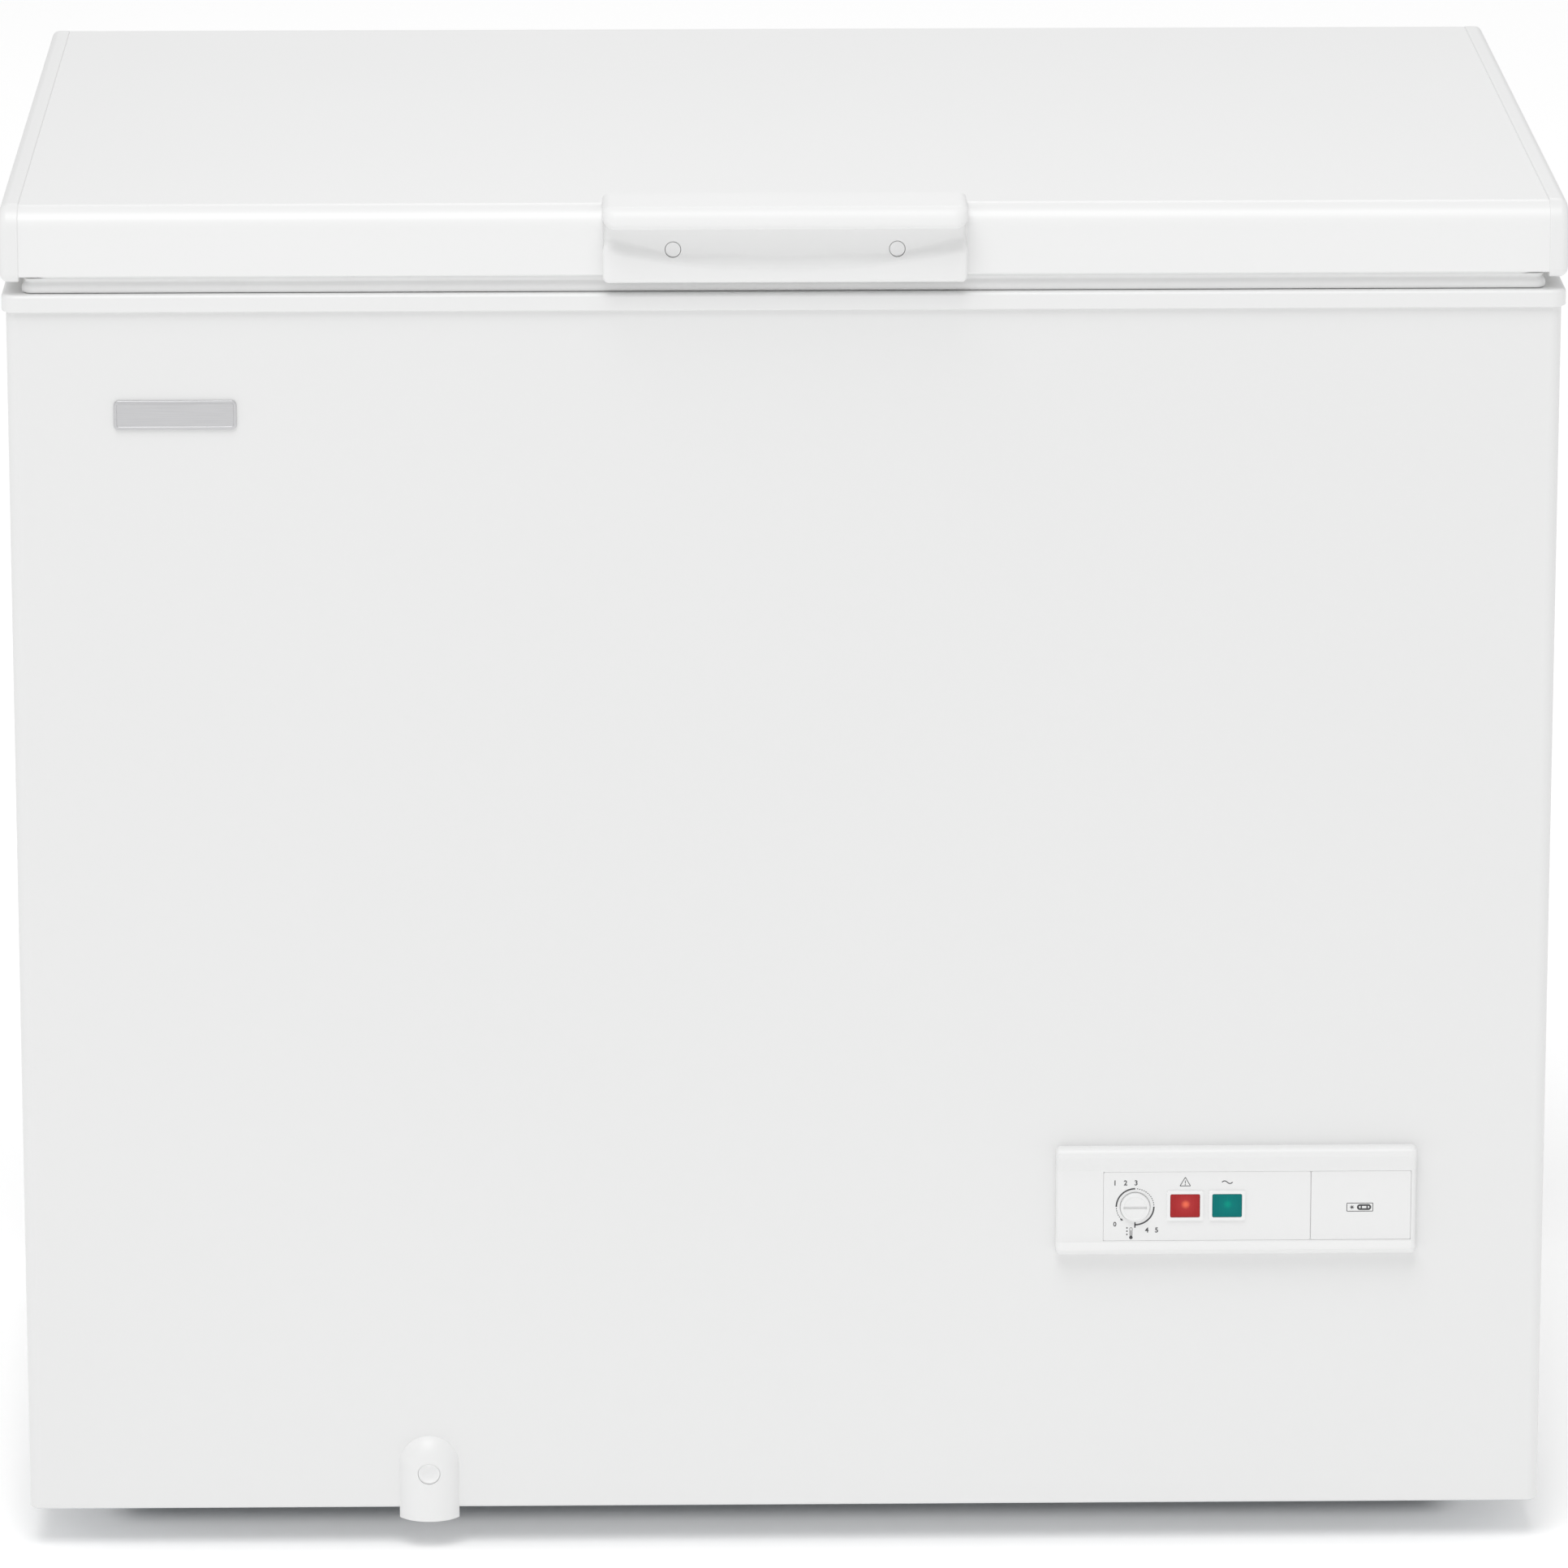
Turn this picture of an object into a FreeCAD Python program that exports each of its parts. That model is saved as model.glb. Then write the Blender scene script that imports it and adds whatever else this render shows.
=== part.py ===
import FreeCAD, Part
import math
import os

# A white chest freezer of about 240 litres. Millimetres, +Z up, +X to the user's right, +Y to the back.
# The origin is on the floor, at the middle of the whole object's footprint.

Vector = FreeCAD.Vector

# Cabinet
BODY_X, BODY_Y = 468.5, 300.0                 # half the width and depth of the painted cabinet
FOOT_HEIGHT = 25.0
FOOT_X, FOOT_Y = 400.0, 205.0
SHEET = 0.8                                   # steel sheet
BODY_CORNER = 7.0
PAN = 1.5                                     # thickness of the base pan and tray

# Trim round the mouth, and the lid above it
TRIM_X, TRIM_Y = 471.2, 302.7
TRIM_BOTTOM, TRIM_TOP, TRIM_PLATE = 783.0, 793.4, 2.5
MOUTH_X, MOUTH_Y, MOUTH_CORNER = 418.0, 252.0, 46.0
LID_X, LID_Y = 471.5, 303.0
LID_BOTTOM, LID_TOP = 804.6, 846.7
LID_FRONT_RADIUS, LID_BACK_RADIUS = 14.0, 5.0
CAP_X = 460.0                                 # where the skin stops and the end caps start
CAP_BOTTOM, CAP_PROUD = 801.2, 0.8
PANEL_SHEET = 2.0                             # inner lid panel
GASKET_X, GASKET_Y, GASKET_WIDTH = 459.0, 297.0, 22.0
GASKET_BOTTOM = 793.6
PLUG_X, PLUG_Y, PLUG_BOTTOM = 400.0, 234.0, 786.0   # the lid panel's bulge into the mouth

# Tub
TUB_X, TUB_Y, TUB_CORNER = 406.0, 240.0, 40.0
TUB_FLOOR, TUB_FILLET, LINER = 84.0, 14.0, 1.0
STEP_X, STEP_Z = 105.0, 315.0                 # the tub is shallower to the right of STEP_X
LEDGE_TOP, LEDGE = 768.5, 18.0                # the baskets hang on this ledge

# Machine bay, at the lower right
BAY_X, BAY_TOP = 155.0, 262.0
COMPRESSOR_X, COMPRESSOR_Y, COMPRESSOR_RADIUS = 330.0, 120.0, 70.0
COMPRESSOR_PLATE_Z, COMPRESSOR_HEIGHT, SEAM_PROUD = 46.0, 158.0, 3.0
MOUNT_DX, MOUNT_DY = 80.0, 45.0
DRIER, DRIER_LOW, DRIER_TOP = (185.0, -60.0), 96.0, 206.0
CONDENSER_X, CONDENSER_BACK = BODY_X - SHEET - 4.0, 250.0

# Hinges
HINGE_X = 300.0
AXIS_Y, AXIS_Z = 316.0, 790.0
OPEN_DEG = 85.0
CAM_SHUT, CAM_OPEN = 12.5, 6.5                # cam radius facing the plunger, lid shut and lid open
PIN_RADIUS, RUNNING_FIT = 3.0, 0.05
LEAF_HALF, HOUSING_HALF, CHEEK, WING = 19.0, 24.0, 3.4, 14.0
HOUSING_BACK = 327.0
HOUSING_BOTTOM, SPRING_BOTTOM, SPRING_TOP = 652.0, 656.0, 738.0
PLUNGER_TIP, PLUNGER_GAP = 2.5, 0.4

# Handle
HANDLE_X = 109.5
HANDLE_NOSE, HANDLE_TOP, HOOD_CORNER = 327.0, 850.0, 9.0
HANDLE_FACE, HANDLE_FLOOR = 312.0, 308.0      # lower flange and floor of the finger recess
HANDLE_BOTTOM, HOOD_BOTTOM, HOOD_BACK = 801.6, 837.0, 276.0
RECESS_X, RECESS_SIDE_Z, RECESS_LOW_Z = 104.0, 826.0, 810.5
SCREW_X, SCREW_Z = 67.3, 821.5

SCREW_SHANK = 1.8

# Control panel
PANEL_LEFT, PANEL_RIGHT = 166.8, 389.2
PANEL_LOW, PANEL_HIGH = 188.8, 256.8
BAND_LOW, BAND_HIGH = 196.4, 242.4            # flat band between the two rounded ridges
FASCIA_LEFT, FASCIA_RIGHT, COVER_RIGHT = 196.0, 324.0, 386.0
RIDGE_PROUD, BAND_PROUD, FASCIA = 9.0, 6.0, 2.0
KNOB_X, KNOB_Z, KNOB_RADIUS = 215.7, 219.2, 9.0
LAMP_XS, LAMP_Z = (246.5, 272.4), 219.9
LENS_X, LENS_Z, LAMP_FRAME = 9.2, 7.5, 2.0    # half the lens, and the frame round it
LAMP_WINDOW = 13.0

# Drain and badge
DRAIN_X, DRAIN_Z, DRAIN_Y = -220.6, 49.5, -170.0
DRAIN_COVER_HALF, DRAIN_COVER_LOW, DRAIN_COVER_PROUD = 18.5, 18.6, 10.0
DRAIN_TUBE, DRAIN_BORE, DRAIN_CAP = 8.0, 6.2, 6.5
BADGE_X, BADGE_Z, BADGE_HALF_X, BADGE_HALF_Z = -367.5, 719.5, 37.0, 9.0

# Openings in the cabinet: side vent, hatch at the back (x0, x1, z0, z1) and cord gland
VENT_Y, VENT_Z, VENT_HALF_Y, VENT_HALF_Z = 40.0, 130.0, 52.0, 46.0
BAY_HATCH = (172.0, 450.0, 42.0, 244.0)
GLAND_X, GLAND_Z, GLAND_NECK, GLAND_BORE = 420.0, 64.0, 9.0, 4.5

# Baskets
BASKET_HALF_X, BASKET_HALF_Y, BASKET_X = 116.0, 228.0, 283.0
BASKET_BOTTOM, BASKET_TOP, BASKET_WALL, BASKET_CORNER = 580.0, 772.0, 3.0, 14.0


def block(x0, x1, y0, y1, z0, z1):
    return Part.makeBox(x1 - x0, y1 - y0, z1 - z0, Vector(x0, y0, z0))


def rod(start, end, radius):
    a, b = Vector(*start), Vector(*end)
    return Part.makeCylinder(radius, (b - a).Length, a, b - a)


def cone(start, end, radius, end_radius):
    a, b = Vector(*start), Vector(*end)
    return Part.makeCone(radius, end_radius, (b - a).Length, a, b - a)


def path_wire(points, radii, closed=False):
    """Straight runs joined by tangent arcs. radii is one number, or one for each point."""
    pts = [Vector(*p) for p in points]
    count = len(pts)
    if not isinstance(radii, (list, tuple)):
        radii = [radii] * count
    corners = []
    for i, p in enumerate(pts):
        if radii[i] <= 0 or (not closed and i in (0, count - 1)):
            corners.append((p, None, p))
            continue
        before = (pts[i - 1] - p).normalize()
        after = (pts[(i + 1) % count] - p).normalize()
        half = before.getAngle(after) / 2
        along = radii[i] / math.tan(half)
        bisector = (before + after).normalize()
        middle = p + bisector * (radii[i] / math.sin(half) - radii[i])
        corners.append((p + before * along, middle, p + after * along))
    edges = []
    for i, (start, middle, end) in enumerate(corners):
        if middle is not None:
            edges.append(Part.Arc(start, middle, end).toShape())
        if closed or i < count - 1:
            following = corners[(i + 1) % count][0]
            if (following - end).Length > 1e-6:
                edges.append(Part.LineSegment(end, following).toShape())
    return Part.Wire(edges)


def upright(x0, x1, y0, y1, radius, z0, z1):
    """Prism on a rounded rectangle."""
    corners = [(x0, y0, z0), (x1, y0, z0), (x1, y1, z0), (x0, y1, z0)]
    return Part.Face(path_wire(corners, radius, closed=True)).extrude(Vector(0, 0, z1 - z0))


def centred(half_x, half_y, radius, z0, z1):
    return upright(-half_x, half_x, -half_y, half_y, radius, z0, z1)


def side_profile(corners, x0, x1):
    """Extrudes an outline of (y, z, corner radius) along X."""
    wire = path_wire([(x0, y, z) for y, z, _ in corners], [r for _, _, r in corners], closed=True)
    return Part.Face(wire).extrude(Vector(x1 - x0, 0, 0))


def front_profile(corners, y0, y1):
    """Extrudes an outline of (x, z, corner radius) along Y."""
    wire = path_wire([(x, y0, z) for x, z, _ in corners], [r for _, _, r in corners], closed=True)
    return Part.Face(wire).extrude(Vector(0, y1 - y0, 0))


def front_plate(x0, x1, z0, z1, radius, y0, y1):
    return front_profile([(x0, z0, radius), (x1, z0, radius), (x1, z1, radius), (x0, z1, radius)], y0, y1)


def tube(points, radius, bend):
    """Round bar along straight runs and tangent arcs."""
    wire = path_wire(points, bend)
    start = Vector(*points[0])
    section = Part.Wire(Part.makeCircle(radius, start, Vector(*points[1]) - start))
    bar = Part.Solid(wire.makePipeShell([section], True, False))
    return bar if bar.Volume > 0 else bar.reversed()


def rounded(shape, radius, wanted):
    """Fillets the edges for which wanted(edge) is true."""
    return shape.makeFillet(radius, [edge for edge in shape.Edges if wanted(edge)])


def lies_at(value, axis):
    """A test for edges that lie wholly in one plane across an axis."""
    def test(edge):
        box = edge.BoundBox
        low, high = {"x": (box.XMin, box.XMax), "y": (box.YMin, box.YMax), "z": (box.ZMin, box.ZMax)}[axis]
        return abs(low - value) < 1e-3 and abs(high - value) < 1e-3
    return test


def fuse(first, *others):
    return first.multiFuse(list(others)).removeSplitter()


def mirrored(shape):
    return shape.mirror(Vector(0, 0, 0), Vector(1, 0, 0))


def both_sides(shape):
    return Part.makeCompound([shape, mirrored(shape)])


def screw(seat, direction, length, radius=SCREW_SHANK, head=3.8, head_height=2.2):
    """A pan-head screw: seat is under the head, direction points from the seat to the tip."""
    start, way = Vector(*seat), Vector(*direction)
    shank = Part.makeCylinder(radius, length, start, way)
    top = Part.makeCylinder(head, head_height, start, way * -1)
    return fuse(shank, rounded(top, 0.8, lambda edge: edge.Length > 1 and
                               (edge.BoundBox.Center - start).Length > head_height * 0.9
                               and edge.Closed))


# ---- cabinet ----

def cabinet_plan(x, front, back, front_radius, back_radius, z0, z1):
    corners = [(-x, front, z0), (x, front, z0), (x, back, z0), (-x, back, z0)]
    radii = [front_radius, front_radius, back_radius, back_radius]
    return Part.Face(path_wire(corners, radii, closed=True)).extrude(Vector(0, 0, z1 - z0))


def wrap_outline(inset, z0, z1):
    """The cabinet's plan: round at the front corners, square at the back."""
    return cabinet_plan(BODY_X - inset, -BODY_Y + inset, BODY_Y - SHEET, BODY_CORNER - inset, 0, z0, z1)


def control_windows():
    """Holes behind the control panel for the thermostat and the lamps."""
    dial = rod((KNOB_X, -BODY_Y - 20, KNOB_Z), (KNOB_X, -BODY_Y + 5, KNOB_Z), KNOB_RADIUS + 1)
    lamps = front_plate(LAMP_XS[0] - LAMP_WINDOW, LAMP_XS[1] + LAMP_WINDOW, LAMP_Z - 11, LAMP_Z + 11, 2.0,
                        -BODY_Y - 20, -BODY_Y + 5)
    return [dial, lamps]


def cabinet_wrap():
    top = TRIM_TOP - TRIM_PLATE
    shell = wrap_outline(0, FOOT_HEIGHT, top).cut(wrap_outline(SHEET, FOOT_HEIGHT - 1, top + 1))
    inner = block(-BODY_X + SHEET, BODY_X - SHEET, BODY_Y - 2 * SHEET - 1, BODY_Y, FOOT_HEIGHT, top)
    vent = block(BODY_X - 5, BODY_X + 5, VENT_Y - VENT_HALF_Y + 8, VENT_Y + VENT_HALF_Y - 8,
                 VENT_Z - VENT_HALF_Z + 8, VENT_Z + VENT_HALF_Z - 8)
    drain = rod((DRAIN_X, -BODY_Y - 5, DRAIN_Z), (DRAIN_X, -BODY_Y + 5, DRAIN_Z), DRAIN_TUBE)
    return shell.cut([inner, vent, drain] + control_windows())


def back_panel():
    x0, x1, z0, z1 = BAY_HATCH
    sheet = block(-BODY_X, BODY_X, BODY_Y - SHEET, BODY_Y, FOOT_HEIGHT, TRIM_TOP - TRIM_PLATE)
    hatch = block(x0, x1, BODY_Y - 5, BODY_Y + 5, z0, z1)
    return sheet.cut([hatch] + screw_holes(housing_screw_places() + bay_screw_places()))


def screw_holes(places):
    return [rod((x, BODY_Y + 5, z), (x, BODY_Y - 14, z), SCREW_SHANK) for x, z in places]


def foot_pegs():
    return [rod((x, y, FOOT_HEIGHT - 1), (x, y, FOOT_HEIGHT + 8), 5.0)
            for x in (-FOOT_X, FOOT_X) for y in (-FOOT_Y, FOOT_Y)]


def base_pan():
    sheet = block(-BODY_X, BAY_X, -BODY_Y, BODY_Y, FOOT_HEIGHT, FOOT_HEIGHT + PAN)
    return sheet.common(wrap_outline(SHEET, FOOT_HEIGHT, FOOT_HEIGHT + PAN)).cut(foot_pegs())


def compressor_tray():
    x1, y = BODY_X - SHEET, BODY_Y - SHEET
    sheet = block(BAY_X, x1, -y, y, FOOT_HEIGHT, FOOT_HEIGHT + PAN)
    sheet = sheet.common(wrap_outline(SHEET, FOOT_HEIGHT, FOOT_HEIGHT + PAN))
    ribs = [block(BAY_X + 6, x1 - 6, row - 3, row + 3, FOOT_HEIGHT + PAN, FOOT_HEIGHT + PAN + 4)
            for row in (-170.0, -90.0, -10.0)]
    bolts = [rod((x, y, FOOT_HEIGHT - 1), (x, y, FOOT_HEIGHT + 8), 3.0) for x, y in compressor_corners()]
    return fuse(sheet, *ribs).cut(foot_pegs() + bolts)


def machine_bay_panel():
    """Folded sheet that keeps the foam out of the machine bay."""
    y = BODY_Y - SHEET
    wall = block(BAY_X - SHEET, BAY_X, -y, y, FOOT_HEIGHT + PAN, BAY_TOP + SHEET)
    roof = block(BAY_X - SHEET, BODY_X - SHEET, -y, y, BAY_TOP, BAY_TOP + SHEET)
    return fuse(wall, roof).common(wrap_outline(SHEET, FOOT_HEIGHT, BAY_TOP + SHEET))


def feet():
    made = []
    for x in (-FOOT_X, FOOT_X):
        for y in (-FOOT_Y, FOOT_Y):
            body = cone((x, y, 0), (x, y, FOOT_HEIGHT), 15.0, 19.0)
            body = rounded(body, 2.0, lies_at(0, "z"))
            made.append(fuse(body, rod((x, y, FOOT_HEIGHT), (x, y, FOOT_HEIGHT + 7), 5.0)))
    return Part.makeCompound(made)


def cavity(grow):
    """The tub's inside, grown outwards by grow."""
    x, y, corner, round_foot = TUB_X + grow, TUB_Y + grow, TUB_CORNER + grow, TUB_FILLET + grow
    floor, step = TUB_FLOOR - grow, STEP_Z - grow
    deep = upright(-x, STEP_X + grow, -y, y, corner, floor, LEDGE_TOP)
    shallow = upright(-x, x, -y, y, corner, step, LEDGE_TOP)
    return fuse(rounded(deep, round_foot, lies_at(floor, "z")),
                rounded(shallow, round_foot, lies_at(step, "z")))


def drain_run(radius, top):
    points = [(DRAIN_X, DRAIN_Y, top), (DRAIN_X, DRAIN_Y, DRAIN_Z), (DRAIN_X, -BODY_Y - 6.0, DRAIN_Z)]
    return tube(points, radius, 18.0)


def ledge_rim():
    return centred(TUB_X + LEDGE, TUB_Y + LEDGE, TUB_CORNER + LEDGE, LEDGE_TOP - LINER, LEDGE_TOP)


def mouth_collar(top):
    """The outside of the trim's collar, which stands on the ledge."""
    grow = TRIM_PLATE
    return centred(MOUTH_X + grow, MOUTH_Y + grow, MOUTH_CORNER + grow, LEDGE_TOP, top)


def tub_liner():
    drain = rod((DRAIN_X, DRAIN_Y, TUB_FLOOR - 5), (DRAIN_X, DRAIN_Y, TUB_FLOOR + 5), DRAIN_TUBE)
    return fuse(cavity(LINER), ledge_rim()).cut([cavity(0), drain])


def cabinet_foam():
    top = TRIM_TOP - TRIM_PLATE
    solid = wrap_outline(SHEET, FOOT_HEIGHT + PAN, top)
    bay = block(BAY_X - SHEET, BODY_X, -BODY_Y, BODY_Y, FOOT_HEIGHT, BAY_TOP + SHEET)
    return solid.cut([cavity(LINER), ledge_rim(), mouth_collar(top + 1), bay]
                     + [drain_run(DRAIN_TUBE, TUB_FLOOR)] + foot_pegs() + screw_holes(housing_screw_places()))


def top_trim():
    outer = cabinet_plan(TRIM_X, -TRIM_Y, TRIM_Y, 10.0, 5.0, TRIM_BOTTOM, TRIM_TOP)
    outer = rounded(outer, 2.2, lies_at(TRIM_TOP, "z"))
    under = cabinet_plan(BODY_X, -BODY_Y, BODY_Y, BODY_CORNER, 0, TRIM_BOTTOM - 1, TRIM_TOP - TRIM_PLATE)
    mouth = centred(MOUTH_X, MOUTH_Y, MOUTH_CORNER, LEDGE_TOP - 1, TRIM_TOP + 1)
    return fuse(outer.cut(under), mouth_collar(TRIM_TOP - 1)).cut(mouth)


# ---- cooling circuit ----

def evaporator_tube():
    """Turns of tube against the outside of the tub, above its step."""
    x, y = TUB_X + LINER + 5.0, TUB_Y + LINER + 5.0
    riser_x, low, pitch, turns = 200.0, 340.0, 66.0, 6
    points = [(riser_x, y, BAY_TOP + SHEET), (riser_x, y, low - 10)]
    for turn in range(turns):
        z = low + pitch * turn
        points += [(x, y, z), (x, -y, z), (-x, -y, z), (-x, y, z + 8.0)]
    points.append((0.0, y, low + pitch * turns))
    radii = [12.0, 12.0] + [40.0] * (len(points) - 2)
    return tube(points, 4.0, radii)


def condenser_tube():
    """Runs of tube against the inside of the front and side sheets."""
    x, y = CONDENSER_X, BODY_Y - SHEET - 4.0
    points = [(x, CONDENSER_BACK, BAY_TOP + SHEET)]
    low, pitch, rows = 300.0, 78.0, 6
    for row in range(rows):
        z = low + pitch * row
        legs = [(x, CONDENSER_BACK, z), (x, -y, z), (-x, -y, z), (-x, CONDENSER_BACK, z)]
        points += legs if row % 2 == 0 else legs[::-1]
    return tube(points, 2.6, 24.0)


def compressor_corners():
    return [(COMPRESSOR_X + sx * MOUNT_DX, COMPRESSOR_Y + sy * MOUNT_DY) for sx in (-1, 1) for sy in (-1, 1)]


def compressor_shell():
    """Welded steel can with a domed top and bottom, on a pressed foot plate."""
    r, x, y = COMPRESSOR_RADIUS, COMPRESSOR_X, COMPRESSOR_Y
    low, high, seam_z = COMPRESSOR_PLATE_Z, COMPRESSOR_PLATE_Z + COMPRESSOR_HEIGHT, COMPRESSOR_PLATE_Z + 74
    can = rounded(rod((x, y, low), (x, y, high), r), 42.0, lies_at(high, "z"))
    can = rounded(can, 18.0, lies_at(low, "z"))
    seam = rod((x, y, seam_z), (x, y, seam_z + 6), r + SEAM_PROUD)
    half_x, half_y = MOUNT_DX + 14, MOUNT_DY + 13
    plate = upright(x - half_x, x + half_x, y - half_y, y + half_y, 12.0, low - 3, low)
    rise = rod((x, y, low - 3), (x, y, low + 30), r - 20)
    holes = [rod((px, py, 0), (px, py, 60), 7.0) for px, py in compressor_corners()]
    return fuse(can, seam, plate, rise).cut(holes)


def compressor_mounts():
    low = FOOT_HEIGHT + PAN
    made = []
    for x, y in compressor_corners():
        foot = rod((x, y, low), (x, y, COMPRESSOR_PLATE_Z - 3), 12.0)
        neck = rod((x, y, COMPRESSOR_PLATE_Z - 3), (x, y, COMPRESSOR_PLATE_Z), 7.0)
        cap = rod((x, y, COMPRESSOR_PLATE_Z), (x, y, COMPRESSOR_PLATE_Z + 4), 10.0)
        made.append(fuse(foot, neck, cap).cut(rod((x, y, low - 1), (x, y, COMPRESSOR_PLATE_Z + 5), 3.0)))
    return Part.makeCompound(made)


def compressor_bolts():
    made = []
    for x, y in compressor_corners():
        shank = rod((x, y, FOOT_HEIGHT - 2), (x, y, COMPRESSOR_PLATE_Z + 8), 3.0)
        head = rod((x, y, FOOT_HEIGHT - 4), (x, y, FOOT_HEIGHT), 6.0)
        washer = rod((x, y, COMPRESSOR_PLATE_Z + 4), (x, y, COMPRESSOR_PLATE_Z + 5.2), 7.0)
        nut = rod((x, y, COMPRESSOR_PLATE_Z + 5.2), (x, y, COMPRESSOR_PLATE_Z + 9.5), 5.2)
        made.append(fuse(shank, head, washer, nut))
    return Part.makeCompound(made)


def start_relay_cover():
    x, y = COMPRESSOR_X - COMPRESSOR_RADIUS, COMPRESSOR_Y
    box = block(x - 34, x + 12, y - 30, y + 30, 88, 150)
    box = rounded(box, 5.0, lies_at(x - 34, "x"))
    can = rod((COMPRESSOR_X, y, 60), (COMPRESSOR_X, y, 200), COMPRESSOR_RADIUS + SEAM_PROUD)
    return box.cut(can)


def filter_drier():
    x, y = DRIER
    low, high, radius = DRIER_LOW + 14, DRIER_TOP - 16, 9.5
    body = rod((x, y, low), (x, y, high), radius)
    ends = [cone((x, y, high), (x, y, DRIER_TOP), radius, 3.2),
            cone((x, y, low), (x, y, DRIER_LOW), radius, 2.4)]
    return fuse(body, *ends)


def refrigerant_tubes():
    """Suction and discharge tubes of the compressor, and the drier's two tails."""
    x, y, r = COMPRESSOR_X, COMPRESSOR_Y, COMPRESSOR_RADIUS
    suction = tube([(x - 30, y + r - 6, 130), (x - 30, y + r + 24, 130), (x - 130, y + r + 24, 130),
                    (x - 130, y + r + 24, BAY_TOP)], 4.0, 16.0)
    discharge = tube([(x + r - 4, y - 20, 120), (x + r + 30, y - 20, 120), (CONDENSER_X, CONDENSER_BACK, 160),
                      (CONDENSER_X, CONDENSER_BACK, BAY_TOP)], 2.6, 12.0)
    drier_x, drier_y = DRIER
    inlet = tube([(drier_x, drier_y, DRIER_TOP), (drier_x, drier_y, BAY_TOP)], 3.2, 1.0)
    capillary = tube([(drier_x, drier_y, DRIER_LOW), (drier_x, drier_y, 70.0), (drier_x, drier_y + 80, 70.0),
                      (drier_x, drier_y + 80, BAY_TOP)], 1.6, 12.0)
    return Part.makeCompound([suction, discharge, inlet, capillary]).cut(compressor_shell())


def bay_cover():
    """Louvred cover over the machine bay's opening at the back."""
    x0, x1, z0, z1 = BAY_HATCH
    plate = front_plate(x0 - 14, x1 + 12, z0 - 12, z1 + 12, 6.0, BODY_Y, BODY_Y + 1.6)
    slots = [front_plate(x0 + 14, x1 - 14, z, z + 5, 2.4, BODY_Y - 1, BODY_Y + 3)
             for z in [96.0 + 13.0 * row for row in range(11)]]
    gland = rod((GLAND_X, BODY_Y - 1, GLAND_Z), (GLAND_X, BODY_Y + 4, GLAND_Z), GLAND_NECK)
    return plate.cut(slots + [gland] + screw_holes(bay_screw_places()))


def bay_screw_places():
    x0, x1, z0, z1 = BAY_HATCH
    return [(x, z) for x in (x0 - 7, x1 + 5) for z in (z0 - 5, z1 + 5)]


def bay_cover_screws():
    return Part.makeCompound([screw((x, BODY_Y + 1.6, z), (0, -1, 0), 10.0) for x, z in bay_screw_places()])


def cord_gland():
    """Bush for the supply cord in the bay cover."""
    flange = rod((GLAND_X, BODY_Y + 1.6, GLAND_Z), (GLAND_X, BODY_Y + 5.0, GLAND_Z), 13.0)
    flange = rounded(flange, 1.4, lies_at(BODY_Y + 5.0, "y"))
    neck = rod((GLAND_X, BODY_Y - 9, GLAND_Z), (GLAND_X, BODY_Y + 1.6, GLAND_Z), GLAND_NECK)
    bore = rod((GLAND_X, BODY_Y - 10, GLAND_Z), (GLAND_X, BODY_Y + 8, GLAND_Z), GLAND_BORE)
    return fuse(flange, neck).cut(bore)


def side_vent_grille():
    x, face, margin = BODY_X, BODY_X + 2.4, 11.0
    y0, y1 = VENT_Y - VENT_HALF_Y, VENT_Y + VENT_HALF_Y
    z0, z1 = VENT_Z - VENT_HALF_Z, VENT_Z + VENT_HALF_Z
    plate = rounded(block(x, face, y0, y1, z0, z1), 1.6, lies_at(face, "x"))
    slot, rows = 4.0, 9
    pitch = (z1 - z0 - 2 * margin - slot) / (rows - 1)
    slots = [block(x - 1, face + 1, y0 + margin, y1 - margin, z, z + slot)
             for z in [z0 + margin + pitch * row for row in range(rows)]]
    return plate.cut(slots)


# ---- control panel ----

def control_bezel():
    """Moulded housing with two rounded ridges and a flat band between them."""
    y, ridge, band = -BODY_Y, -BODY_Y - RIDGE_PROUD, -BODY_Y - BAND_PROUD
    outline = [(y, PANEL_LOW, 0), (ridge + 3, PANEL_LOW, 3.0), (ridge + 2, BAND_LOW - 2, 3.0),
               (band, BAND_LOW, 1.0), (band, BAND_HIGH, 1.5), (ridge, BAND_HIGH + 2, 4.0),
               (ridge, PANEL_HIGH, 7.0), (y, PANEL_HIGH, 0)]
    body = side_profile(outline, PANEL_LEFT, PANEL_RIGHT)
    pocket = front_plate(FASCIA_LEFT, COVER_RIGHT, BAND_LOW + 0.8, BAND_HIGH - 0.8, 1.0,
                         band - 5, band + FASCIA)
    return body.cut([pocket] + control_windows())


def lamp_opening(x, grow, y0, y1):
    return front_plate(x - LENS_X - grow, x + LENS_X + grow, LAMP_Z - LENS_Z - grow, LAMP_Z + LENS_Z + grow,
                       1.0, y0, y1)


def control_fascia():
    band = -BODY_Y - BAND_PROUD
    plate = front_plate(FASCIA_LEFT + 0.2, FASCIA_RIGHT - 0.2, BAND_LOW + 1.0, BAND_HIGH - 1.0, 1.0,
                        band, band + FASCIA)
    dial = rod((KNOB_X, band - 1, KNOB_Z), (KNOB_X, band + 5, KNOB_Z), KNOB_RADIUS + 0.5)
    return plate.cut([dial] + [lamp_opening(x, LAMP_FRAME / 2, band - 1, band + 5) for x in LAMP_XS])


def panel_cover():
    band = -BODY_Y - BAND_PROUD
    return front_plate(FASCIA_RIGHT + 0.2, COVER_RIGHT - 0.2, BAND_LOW + 1.0, BAND_HIGH - 1.0, 1.0,
                       band, band + FASCIA)


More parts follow.
